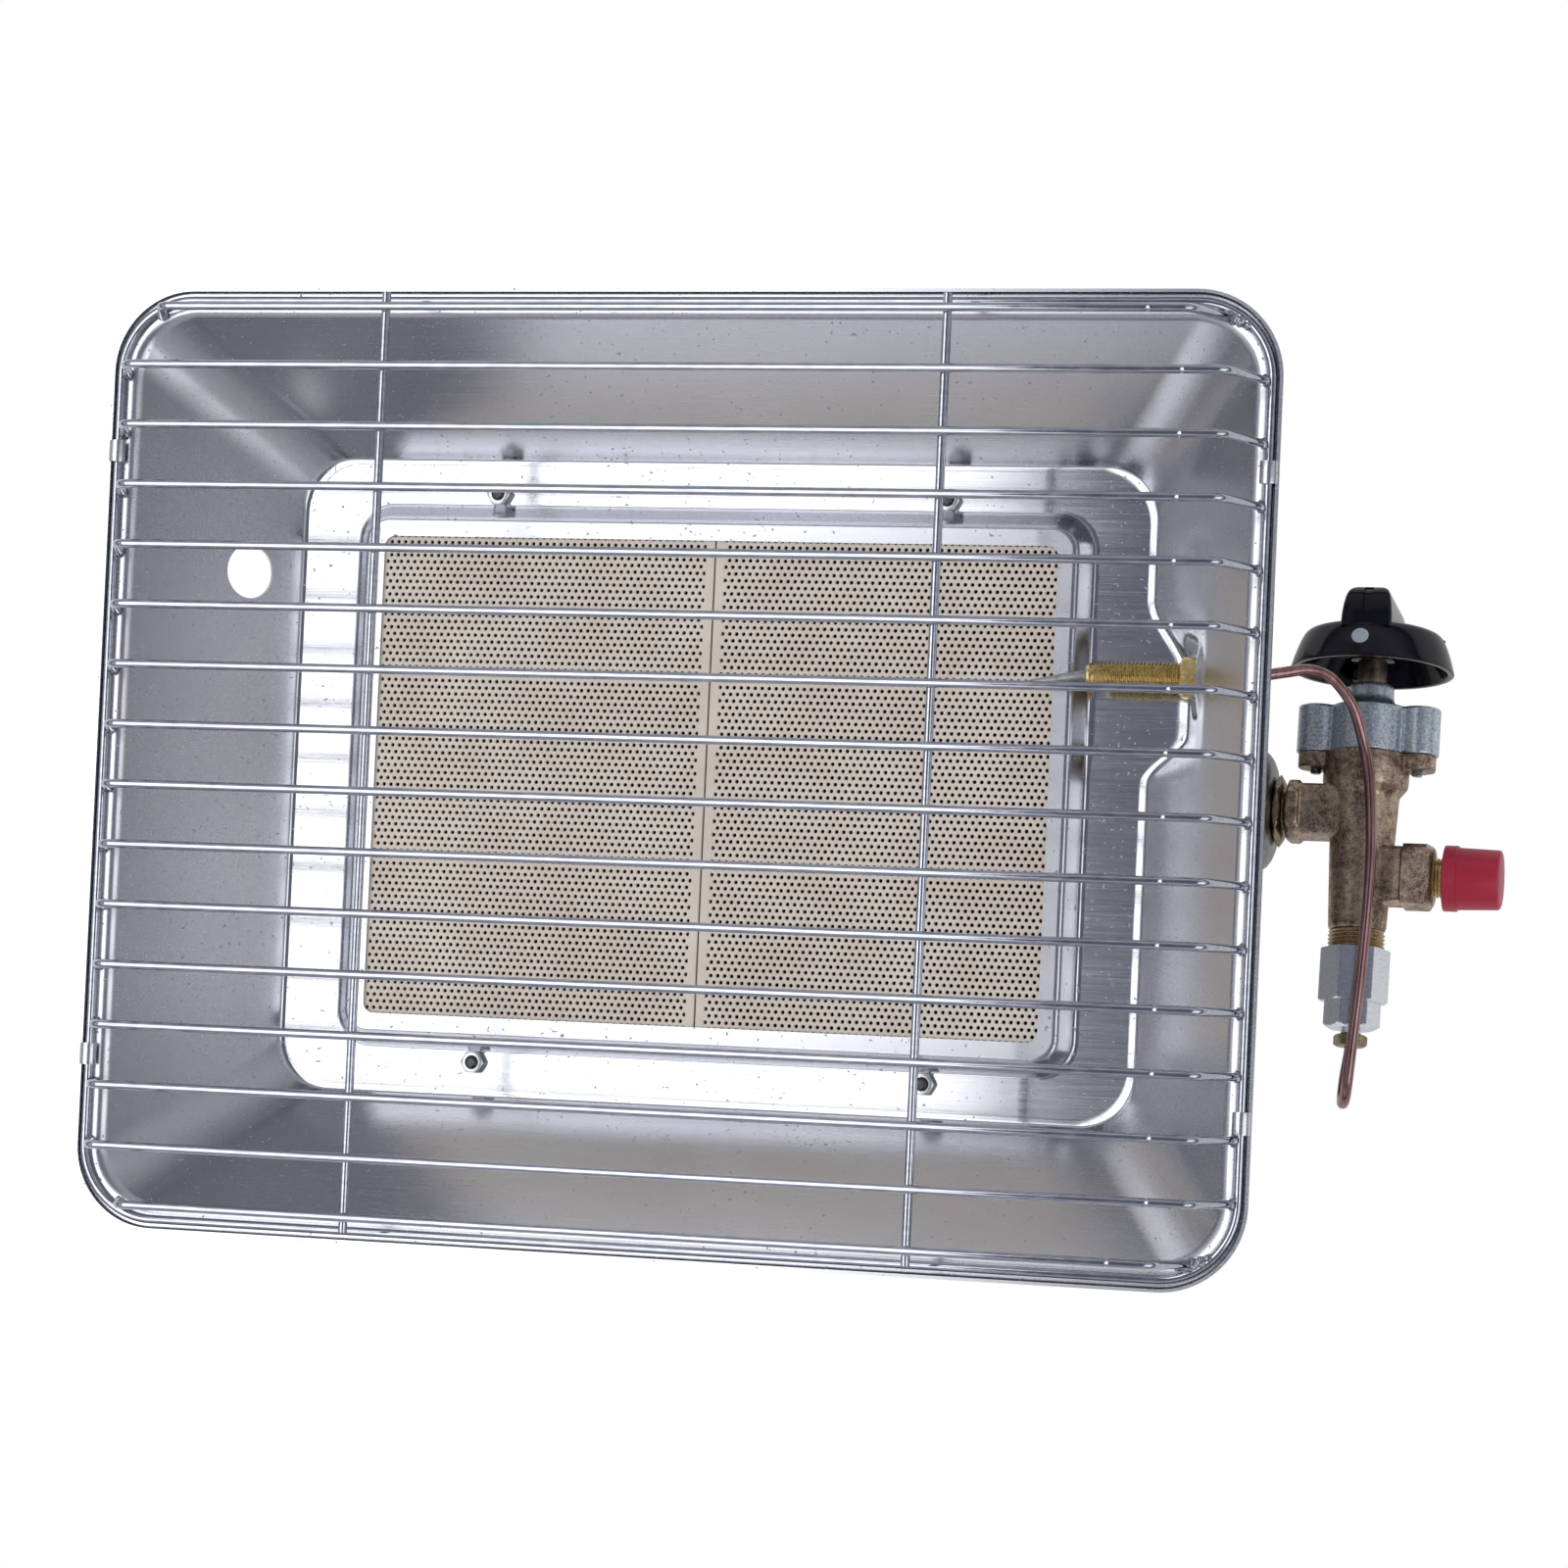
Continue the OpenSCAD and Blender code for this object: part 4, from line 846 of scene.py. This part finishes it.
def build_plate(name, side):
    """A plate: its pierced face, closed below by a skirt and a fan, strips round it and a block behind."""
    x_mid = side * PLATE_X
    p, tris, quads, floors, hexes = plate_cells()
    p = p + (x_mid, 0, PLATE_Z - 0.04)
    edge = rim_edges(tris, quads, floors, hexes)
    n = len(p)
    low = p - (0, 0, SKIRT)
    centre = [(x_mid, 0, p[:, 2].max() - SKIRT)]
    skirt = np.stack([edge[:, 1], edge[:, 0], edge[:, 0] + n, edge[:, 1] + n], -1)
    fan = np.stack([edge[:, 1] + n, edge[:, 0] + n, np.full(len(edge), 2 * n)], -1)
    all_points = np.concatenate([p, low, centre])
    x0, x1 = x_mid - PLATE_HALF_X, x_mid + PLATE_HALF_X
    y0, y1 = -PLATE_HALF_Y, PLATE_HALF_Y
    field_x = x_mid + np.array([-1, 1]) * (HOLES * PITCH_X / 2 - 0.1)
    blocks = [
        box_grid(x0, field_x[0], y0, y1, -6, PLATE_Z, 0.1),
        box_grid(field_x[1], x1, y0, y1, -6, PLATE_Z, 0.1),
        box_grid(x0, x1, y0, -FIELD_HALF_Y, -6, PLATE_Z, 0.1),
        box_grid(x0, x1, FIELD_HALF_Y, y1, -6, PLATE_Z, 0.1),
        box_grid(x0, x1, y0, y1, PLATE_BACK, -4.5, 0.2),
    ]
    block_points, block_faces = many(*[(b, False) for b in blocks])
    start = len(all_points)
    mesh_of(
        name,
        np.concatenate([all_points, block_points]),
        np.concatenate([tris, fan]),
        np.concatenate([quads, skirt, block_faces + start]),
        floors,
        hexes,
        material=ceramic_face,
        stands_for=("plate_left" if side < 0 else "plate_right",),
        slot="ceramic",
        sharp=20,
    )


build_plate("burner_plate_left", -1)
build_plate("burner_plate_right", 1)


# ---------------------------------------------------------------- fixings of the burner


def threaded(radius, length, pitch, depth, turns=48, per=10, soft=1.0):
    """
    A screw thread round Z, fading in and out at its ends.

    Its radius is the outer one less the depth times a triangle wave of z / pitch - t / 2 pi, cut flat at top
    and bottom.
    """
    z = np.linspace(0, length, int(length / pitch * per) + 1)[:, None]
    t = np.arange(turns)[None] * 2 * np.pi / turns
    wave = abs(((z / pitch - t / (2 * np.pi)) % 1) - 0.5) * 2
    cut = np.minimum(1, np.minimum(z, length - z) / soft)
    r = radius - depth * np.clip(1.25 * (1 - wave) - 0.12, 0, 1) - (1 - cut) * 0.35
    grid = np.stack([r * np.cos(t), r * np.sin(t), z + 0 * t], -1)
    return np.concatenate([grid[:1] * (0, 0, 1), grid, grid[-1:] * (0, 0, 1)])


def at(grid, x, y, z):
    """A shape moved to the given place."""
    return grid + np.array([x, y, z])


def socket_head():
    """
    A round head with a hexagonal socket from below.

    The socket's radius is that of its corners times cos 30 / cos of the angle off the middle of each flat.
    """
    t = np.arange(48) * 2 * np.pi / 48
    flats = math.cos(math.pi / 6) / np.cos((t + np.pi / 6) % (np.pi / 3) - np.pi / 6)
    socket = [(0, 1.0, 1), (1.15, 1.0, flats), (1.2, 0.05, flats)]
    head = [(1.35, 0, 1), (2.5, 0, 1), (2.75, 0.25, 1), (2.75, 2, 1), (0, 2, 1)]
    rows = [(r * k * np.cos(t), r * k * np.sin(t), 0 * t + z) for r, z, k in socket + head]
    return np.stack([np.stack(row, -1) for row in rows])


NUT_X = 60.2
NUT_Y = 74.2
corners = [(x, y) for x in (-NUT_X, NUT_X) for y in (-NUT_Y, NUT_Y)]
nuts = [at(nut(5.5, 2.4, 1.52), x, y, FLOOR_Z) for x, y in corners]
screws = []
for x, y in corners:
    screws.append(at(socket_head(), x, y, FLOOR_Z - 4.0))
    screws.append(at(threaded(1.5, 5.4, 0.5, 0.2, 24, 6, 0.3), x, y, FLOOR_Z - 2.2))
piece("frame_nut_hexagons", nuts, plated, "frame_nuts", "plated_steel", closed=True)
piece("frame_screw_set", screws, blackened, "frame_screws", "plated_steel")

# ---------------------------------------------------------------- flame sensor

collar = turned([(0, 0), (2.9, 0), (3.2, 0.3), (3.3, 1.6), (3.0, 1.9), (3.0, 3.0), (0, 3.0)], 64)
screw = threaded(3.9, 33.4, 1.0, 0.5)
bushing = [along_x(collar, 100.5, SENSOR_Y, SENSOR_Z), along_x(screw, 102.6, SENSOR_Y, SENSOR_Z)]
piece("sensor_thread", bushing, turned_brass, "sensor_bushing", "brass", sharp=60)
pair = [along_x(nut(10, 4.7, 3.92), x, SENSOR_Y, SENSOR_Z) for x in (124.35, 129.75)]
piece("sensor_hexagons", pair, turned_brass, "sensor_nuts", "brass", closed=True)


def sensor_needle():
    """A rod that leaves the bushing, turns 8 degrees off its axis after 13 mm and draws down to a tip."""
    s = np.array([0, 0.2, 4, 12, 14, 16, 20, 24, 27, 28.6, 29.3, 29.5])
    r = np.array([1.3, 1.5, 1.5, 1.5, 1.5, 1.45, 1.15, 0.85, 0.65, 0.5, 0.3, 0.0])
    straight = 13
    bend = np.clip(s - straight, 0, None)
    turn = math.radians(8)
    x = 113 - np.minimum(s, straight) - bend * math.cos(turn)
    path = np.stack([x, SENSOR_Y - bend * math.sin(turn), 0 * s + SENSOR_Z], -1)
    return closed_ends(swept(path, r, 20))


piece("sensor_needle", [sensor_needle()], probe_steel, "sensor_probe", "probe_steel")

# ---------------------------------------------------------------- copper lead

LEAD = [
    (131, 29.3, 9), (136, 29.3, 9), (142, 30, 8.5), (149, 31.5, 6), (155, 32.6, 2.5), (160, 31, -1.5),
    (164.5, 25, -6.5), (167, 17, -9.5), (169, 8, -10), (170.2, -6, -9.5), (170.3, -20, -8.8),
    (169.3, -42, -7.5), (168, -60, -6.2), (167.3, -68.4, -6.4), (166.5, -72.6, -8.9),
    (165.5, -74, -12.6), (164.9, -72.2, -16.2), (165.1, -67, -18), (165.8, -60.8, -19.1),
    (165.8, -56.5, -19.7),
]
lead = closed_ends(swept(spline(LEAD, 10), 1.4, 20, (1, 0.2, 0.9)))
piece("copper_lead_tube", [lead], copper, "copper_lead", "copper")

# ---------------------------------------------------------------- end cap, lock nut and jet holder

cap_profile = [
    (14.4, 131), (15.6, 131), (15.7, 131.2), (15.7, 138.4), (15.55, 139.4), (15.2, 140.2), (14.4, 141.3),
    (13.2, 142.2), (11.6, 142.9), (9.4, 143.3), (6, 143.4), (5, 143.4), (5, 142.2), (9, 142.2),
    (11.3, 141.4), (13.1, 140.4), (14.1, 139.3), (14.45, 138),
]
jet_profile = [
    (0.5, 130), (2.2, 130), (4.2, 133), (4.2, 140.6), (4.98, 142.2), (4.98, 145.8), (4.8, 146), (4.1, 146),
    (4, 146.1), (4, 146.6), (1.5, 146.6), (1.5, 132), (0.5, 131.5),
]
end_cap = along_x(turned(cap_profile), 0, TUBE_Y, TUBE_Z)
jet_nut = along_x(nut(16, 2.2, 5.0, 30), 143.4, TUBE_Y, TUBE_Z)
jet_neck = along_x(turned(jet_profile, 64), 0, TUBE_Y, TUBE_Z)
piece("end_cap", [end_cap], dull_plating, "tube_cap", "plated_steel", closed=True, sharp=40)
piece("jet_lock_nut", [jet_nut], dull_brass, "lock_nut", "brass", closed=True)
piece("jet_neck", [jet_neck], turned_brass, "jet_holder", "brass", closed=True)

# ---------------------------------------------------------------- gas valve


def on_outlet(points, y=0.0):
    """A shape drawn round Z, laid along the valve's outlet or inlet."""
    p = np.asarray(points, float)
    return on_valve(np.stack([p[..., 2], p[..., 1] + y, -p[..., 0]], -1))


def casting(grids, name, voxel, material, stands_for, slot):
    """Closed shapes fused on voxels of the given millimetres and smoothed, which leaves fillets between."""
    obj = piece(name, grids, material, stands_for, slot)
    fuse = obj.modifiers.new("fuse", "REMESH")
    fuse.mode = "VOXEL"
    fuse.voxel_size = voxel / 1000
    fuse.use_smooth_shade = True
    soft = obj.modifiers.new("soft", "SMOOTH")
    soft.factor = 0.5
    soft.iterations = 3
    return obj


def drum(r, y0, y1, x=0.0, soft=0.5):
    """A round lobe along the spindle from y0 to y1, x off its axis, with its far edge rounded."""
    a = np.linspace(0, np.pi / 2, 6)
    rim = [(r - soft * (1 - math.cos(v)), y1 - soft * (1 - math.sin(v))) for v in a]
    return along_spindle(turned([(0, y0), (r, y0), *rim, (0, y1)], 96) + np.array([x, 0, 0]))


def slab(half_x, half_z, y0, y1):
    """A flat web across the spindle."""
    return along_spindle(box_grid(-half_x, half_x, -half_z, half_z, y0, y1, 0.4))


# A bar's limit where nothing cuts its corners.
NO_LIMIT = 99

# Along the spindle: the underside of the flange's ears, the seam under the cover, and the cover's top.
EAR_Y = 11.2
SEAM_Y = 15.1
COVER_Y = 27.3
SCREW_X = 12.8


def square_bar(half, cut, z0, z1):
    """A square bar with cut corners between two heights."""
    return bar(straight_sided(cut_square(half, cut), 0.3), [z0, z1], [NO_LIMIT, NO_LIMIT])


core = [
    (0, -30), (6.9, -30), (7.3, -29.2), (7.35, -28), (8.65, 3), (8.8, 4.5), (10.6, 6.7), (10.8, 8),
    (10.8, 15), (0, 15),
]
outlet_end = bar(
    straight_sided(cut_square(7.6, 3.6), 0.3),
    [-OUTLET_END, 0.5 - OUTLET_END, 3.4 - OUTLET_END],
    [7.3, NO_LIMIT, NO_LIMIT],
)
body = [
    along_spindle(turned(core, 128)),
    drum(5.0, EAR_Y, SEAM_Y, -12.4, 0.1),
    drum(5.0, EAR_Y, SEAM_Y, 12.4, 0.1),
    slab(12, 3.4, EAR_Y, SEAM_Y),
    on_outlet(square_bar(6.5, 0.8, -OUTLET_END + 1, 0)),
    on_outlet(outlet_end),
    on_outlet(square_bar(7.0, 1.3, 0, 11.0), INLET_Y),
]
casting(body, "valve_casting", 0.34, dark_brass, "valve_body", "brass_body")
thread = along_spindle(threaded(7.15, 8.2, 1.0, 0.5, 72) + np.array([0, 0, -38]))
mesh_of("magnet_thread", *many((thread, False)), material=thread_brass, slot="brass_body", sharp=60)

neck_curve = spline([(7.9, 27.1), (7.1, 27.6), (6.4, 28.3), (6.0, 29.2), (5.85, 30.4), (5.8, 32.5)], 4)
cover = [
    drum(9.6, SEAM_Y, COVER_Y),
    drum(5.2, SEAM_Y, COVER_Y, -SCREW_X),
    drum(5.2, SEAM_Y, COVER_Y, SCREW_X),
    slab(12, 4.2, SEAM_Y, COVER_Y - 0.1),
    along_spindle(turned([(0, 22), (7.9, 22), *neck_curve, (5.4, 33.1), (5, 33.2), (0, 33.2)], 96)),
]
casting(cover, "valve_bonnet", 0.32, zinc, "valve_cover", "zinc_casting")


def domed_head(x):
    """A low domed screw head in the cover's ear."""
    head = [(0, 24.9), (2.6, 24.9), (2.75, 25.2), (2.7, 26.3), (2.2, 26.8), (0, 26.95)]
    return along_spindle(turned(head, 48) + np.array([x, 0, 0]))


def screw_tip(x):
    """The thread that shows under the flange's ear."""
    return along_spindle(threaded(1.5, 5.0, 0.5, 0.18, 24, 6, 0.3) + np.array([x, 0, 9.9]))


screws = [shape(x) for x in (-SCREW_X, SCREW_X) for shape in (domed_head, screw_tip)]
piece("bonnet_screws", screws, dull_plating, "cover_screws", "plated_steel")

MAGNET_TURN = 10
magnet = [
    along_spindle(at(nut(15.2, 13.5, turn=MAGNET_TURN, low=1.06, high=1.12), 0, 0, -48.2)),
    along_spindle(at(nut(12.4, 6.9, turn=MAGNET_TURN, low=0.9, high=1.15), 0, 0, -55)),
    along_spindle(turned([(0, -56.2), (2.5, -56.2), (2.6, -56), (2.6, -54), (0, -54)], 48)),
]
piece("magnet_hexagons", magnet, bright_plating, "magnet_unit", "plated_steel", sharp=25)
lead_fixing = along_spindle(at(nut(7.5, 3.0), 0, 0, -59.4))
piece("lead_hexagon", [lead_fixing], dull_brass, "lead_nut", "brass")

end_heights = [11.1, 11.3, 17.1, *np.linspace(17.2, 18.6, 8)]
end_limits = [9.6, 9.9, 9.9, *np.linspace(9.7, 7.1, 8)]
end = bar(straight_sided(cut_square(7.6, 1.3), 0.35), end_heights, end_limits)
piece("inlet_end", [on_outlet(end, INLET_Y)], dark_brass, "inlet_union", "brass_body")
grooved = [
    (0, 17), (5, 17), (5, 18.9), (4.55, 19.15), (4.55, 19.25), (5, 19.45), (5, 19.75), (4.55, 19.95),
    (4.55, 20.05), (5, 20.3), (5, 20.7), (5.8, 20.8), (6.58, 21.4), (6.58, 31.8), (5.8, 32.4), (0, 32.4),
]
inlet_neck = on_outlet(turned(grooved, 64), INLET_Y)
mesh_of("inlet_neck", *many((inlet_neck, False)), material=turned_brass, slot="brass")
hollow_cap = [
    (6.64, 21.2), (8.1, 21.2), (8.3, 21.35), (8.3, 24.45), (8.15, 24.65), (7.84, 24.75), (7.52, 34.7),
    (7.3, 35.15), (6.8, 35.4), (0, 35.4), (0, 33.4), (6.64, 33.4),
]
cap = on_outlet(turned(hollow_cap), INLET_Y)
piece("inlet_cap", [cap], red_plastic, "dust_cap", "cap_red", closed=True, body="cap", sharp=28)

# ---------------------------------------------------------------- knob and spindle

shaft = [(0, -14), (2, -14), (2, 12), (3.7, 12), (3.7, 42), (3.3, 42.5), (0, 42.5)]
rod = along_spindle(turned(shaft, 64))
piece("spindle_rod", [rod], spindle_brass, "spindle", "spindle_brass", body="knob")


def knob_skirt():
    """A steep wall rounding into a nearly flat crown, turned round the spindle, hollow underneath."""
    wall = [
        (20.6, 36.65), (20.4, 37.6), (19.7, 40), (18.8, 42.6), (17.9, 44.6), (17.2, 45.6), (16.1, 46.35),
        (13, 47.2), (8.6, 47.8),
    ]
    inner = spline([(14.4, 44.8), (15.8, 43.8), (17.2, 41.2), (18.3, 38.6), (18.95, 36.7)], 4)
    mouth = [(19.1, 36.52), (20.45, 36.5)]
    return turned(np.concatenate([[(0, 44.8), (13, 44.8)], inner, mouth, spline(wall, 5), [(0, 48)]]), 160)


def grip_bar():
    """
    Rounded rectangles stacked along the spindle, narrowing upward: height, half width, half length, radius.

    The end that points has a groove down its middle.
    """
    flat = np.linspace(-1, 1, 15)
    middle = np.array([-1.35, -1.1, -0.95, -0.5, 0, 0.5, 0.95, 1.1, 1.35])
    a = np.linspace(0, np.pi / 2, 7)[1:-1]
    levels = [
        (44.8, 0, 0, 0), (44.8, 6.4, 17.4, 0.9), (48, 6.25, 17.2, 0.9), (48.6, 6.2, 17.15, 0.9),
        (49, 6.15, 17.1, 0.9), (50.5, 6.0, 16.8, 0.9), (52.5, 5.65, 16.2, 0.9), (53.4, 5.4, 15.8, 0.9),
        (54, 5.2, 15.4, 0.9), (54.5, 4.95, 14.9, 0.9), (54.9, 4.65, 14.4, 0.9), (55.3, 4.3, 13.7, 0.9),
        (55.65, 3.8, 12.8, 0.9), (55.9, 3.1, 11.6, 0.9), (56, 2.4, 10.4, 0.9), (56, 0, 0, 0),
    ]
    rows = []
    for y, hx, hz, r in levels:
        flank = hx - r
        across = np.concatenate([[-flank, -flank * 0.5], middle * min(1, flank / 2.8), [flank * 0.5, flank]])
        groove = 1.0 * np.clip((1.1 - abs(across)) / 0.15, 0, 1) * (48.7 < y) * (y < 55.5)
        top = np.stack([across, hz - groove], -1)
        arc = np.stack([r * np.sin(a), r * np.cos(a)], -1)
        right = np.stack([0 * flat + hx, -flat * (hz - r)], -1)
        side = np.concatenate([arc + (flank, hz - r), right, arc[::-1] * (1, -1) + (flank, r - hz)])
        bottom = np.stack([-across, 0 * across - hz], -1)
        loop = np.concatenate([top, side, bottom, side * (-1, -1)])
        rows.append(np.column_stack([loop[:, 0], 0 * loop[:, 0] + y, loop[:, 1]]))
    return on_valve(np.stack(rows))


hub = turned([(0, 39.2), (5.4, 39.2), (5.6, 39.4), (5.6, 45.5), (0, 45.5)], 64)
rib = box_grid(-18, 18, -0.6, 0.6, 40.2, 45.2, 0.2)
cross_rib = box_grid(-0.6, 0.6, -18, 18, 40.2, 45.2, 0.2)
stop_lug = box_grid(-7, -4.6, 12.8, 17.2, 37.2, 45.2, 0.3)
inside = [along_spindle(shape) for shape in (hub, rib, cross_rib, stop_lug)]
knob = [along_spindle(knob_skirt()), grip_bar(), *inside]
piece("knob_shell", knob, black_gloss, "knob", "knob_black", body="knob", sharp=50)


def index_dot():
    """A low button, tilted onto the slope of the skirt's wall."""
    p = turned([(0, -0.4), (2.15, -0.4), (2.15, 0.55), (2.0, 0.74), (0, 0.78)], 48)
    tilt, aside = math.radians(-19), math.radians(-3)
    y = p[..., 1] * math.cos(tilt) - p[..., 2] * math.sin(tilt)
    z = p[..., 1] * math.sin(tilt) + p[..., 2] * math.cos(tilt)
    x, y, z = p[..., 0], y + 41.6, z + 18.6
    across = x * math.cos(aside) + z * math.sin(aside)
    out = -x * math.sin(aside) + z * math.cos(aside)
    return on_valve(np.stack([across, y, out], -1))


piece("index_dot", [index_dot()], dot_paint, "knob_dot", "dot_pale", body="knob")


# ---------------------------------------------------------------- looks of the CAD pieces


def dress(node, material):
    """Gives a CAD node that nothing stands for its material."""
    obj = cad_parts[node]
    obj.data.materials.clear()
    obj.data.materials.append(material)
    obj.data.shade_smooth()
    obj.data.set_sharp_from_angle(angle=math.radians(30))


LOOKS = {"burner_box": box_metal, "plate_seal": fibre, "mixing_tube": plated, "taper_plug": turned_brass}
for node, look in LOOKS.items():
    dress(node, look)


# ---------------------------------------------------------------- stage, light and camera

# How much of the white surroundings bright metal shows.
FLOOR_IN_METAL = 0.4
WORLD_IN_METAL = 0.04


def seen_white(tree, in_metal):
    """1 where the camera looks, and the given share where metal or glass mirrors or passes the light."""
    rays = tree.nodes.new("ShaderNodeLightPath")
    mirrored = maths(tree, "MAXIMUM", rays.outputs["Is Glossy Ray"], rays.outputs["Is Transmission Ray"])
    dimmed = maths(tree, "MULTIPLY", mirrored, in_metal)
    return maths(tree, "MAXIMUM", rays.outputs["Is Camera Ray"], dimmed)


def floor():
    """White paper: white to the camera, and dimmer in what mirrors it, so that metal keeps its edges."""
    me = bpy.data.meshes.new("ground")
    s = 6.0
    me.from_pydata([(-s, -s, 0), (s, -s, 0), (s, s, 0), (-s, s, 0)], [], [(0, 1, 2, 3)])
    obj = bpy.data.objects.new("ground", me)
    bpy.context.collection.objects.link(obj)
    m, tree, shader = new_material("ground paper")
    shader.inputs["Base Color"].default_value = (0.9, 0.9, 0.9, 1)
    shader.inputs["Roughness"].default_value = 0.9
    shader.inputs["Specular IOR Level"].default_value = 0.0
    glow = tree.nodes.new("ShaderNodeEmission")
    glow.inputs["Color"].default_value = (1, 1, 1, 1)
    pick = tree.nodes.new("ShaderNodeMixShader")
    out = tree.nodes["Material Output"]
    tree.links.new(seen_white(tree, FLOOR_IN_METAL), pick.inputs["Fac"])
    tree.links.new(shader.outputs["BSDF"], pick.inputs[1])
    tree.links.new(glow.outputs["Emission"], pick.inputs[2])
    tree.links.new(pick.outputs["Shader"], out.inputs["Surface"])
    me.materials.append(m)


def area_light(name, place, aim, size, power):
    """A soft box of the given metres and watts, turned towards its aim."""
    data = bpy.data.lights.new(name, "AREA")
    data.shape = "RECTANGLE"
    data.size, data.size_y = size
    data.energy = power
    obj = bpy.data.objects.new(name, data)
    bpy.context.collection.objects.link(obj)
    obj.location = place
    obj.rotation_euler = (Vector(aim) - Vector(place)).to_track_quat("-Z", "Y").to_euler()


def surroundings(levels):
    """Plain light from all sides, over the given colours from the height of the table to overhead."""
    world = bpy.data.worlds.new("studio")
    world.use_nodes = True
    bpy.context.scene.world = world
    tree = world.node_tree
    back = tree.nodes["Background"]
    place = tree.nodes.new("ShaderNodeTexCoord")
    part = tree.nodes.new("ShaderNodeSeparateXYZ")
    tree.links.new(place.outputs["Generated"], part.inputs[0])
    tree.links.new(between(tree, part.outputs["Z"], levels, 0.0, 1.0), back.inputs["Color"])
    white = tree.nodes.new("ShaderNodeBackground")
    white.inputs["Color"].default_value = (1, 1, 1, 1)
    pick = tree.nodes.new("ShaderNodeMixShader")
    tree.links.new(seen_white(tree, WORLD_IN_METAL), pick.inputs["Fac"])
    tree.links.new(back.outputs["Background"], pick.inputs[1])
    tree.links.new(white.outputs["Background"], pick.inputs[2])
    tree.links.new(pick.outputs["Shader"], tree.nodes["World Output"].inputs["Surface"])


def camera():
    """A long lens above the right end of the tray, leaning a little to the left."""
    data = bpy.data.cameras.new("camera")
    data.sensor_width = 36
    data.lens = 101.25
    data.shift_x = -0.0026
    data.shift_y = 0.082
    data.clip_start, data.clip_end = 0.05, 20
    obj = bpy.data.objects.new("camera", data)
    obj.location = ((318.3 - MID_X) / 1000, -0.05852, (1084 + BOX_H) / 1000)
    obj.rotation_euler = (0.03566, 0.2639, 0.04669)
    bpy.context.collection.objects.link(obj)
    bpy.context.scene.camera = obj


STUDIO = [
    (0.0, 0.005, 0.021), (0.3125, 0.3125, 0.344), (0.646, 0.635, 0.677), (0.5, 0.5, 0.542),
    (0.229, 0.24, 0.292), (0.104, 0.115, 0.156),
]
floor()
surroundings(STUDIO)
area_light("overhead softbox", (-0.7475, -0.05, 1.25), (-0.7475, -0.05, 0), (1.065, 1.6), 11.5)
area_light("right softbox", (1.1, -0.35, 1.1), (0.15, 0, 0), (1.0, 1.0), 4)
camera()
bpy.context.scene.view_settings.view_transform = "Standard"
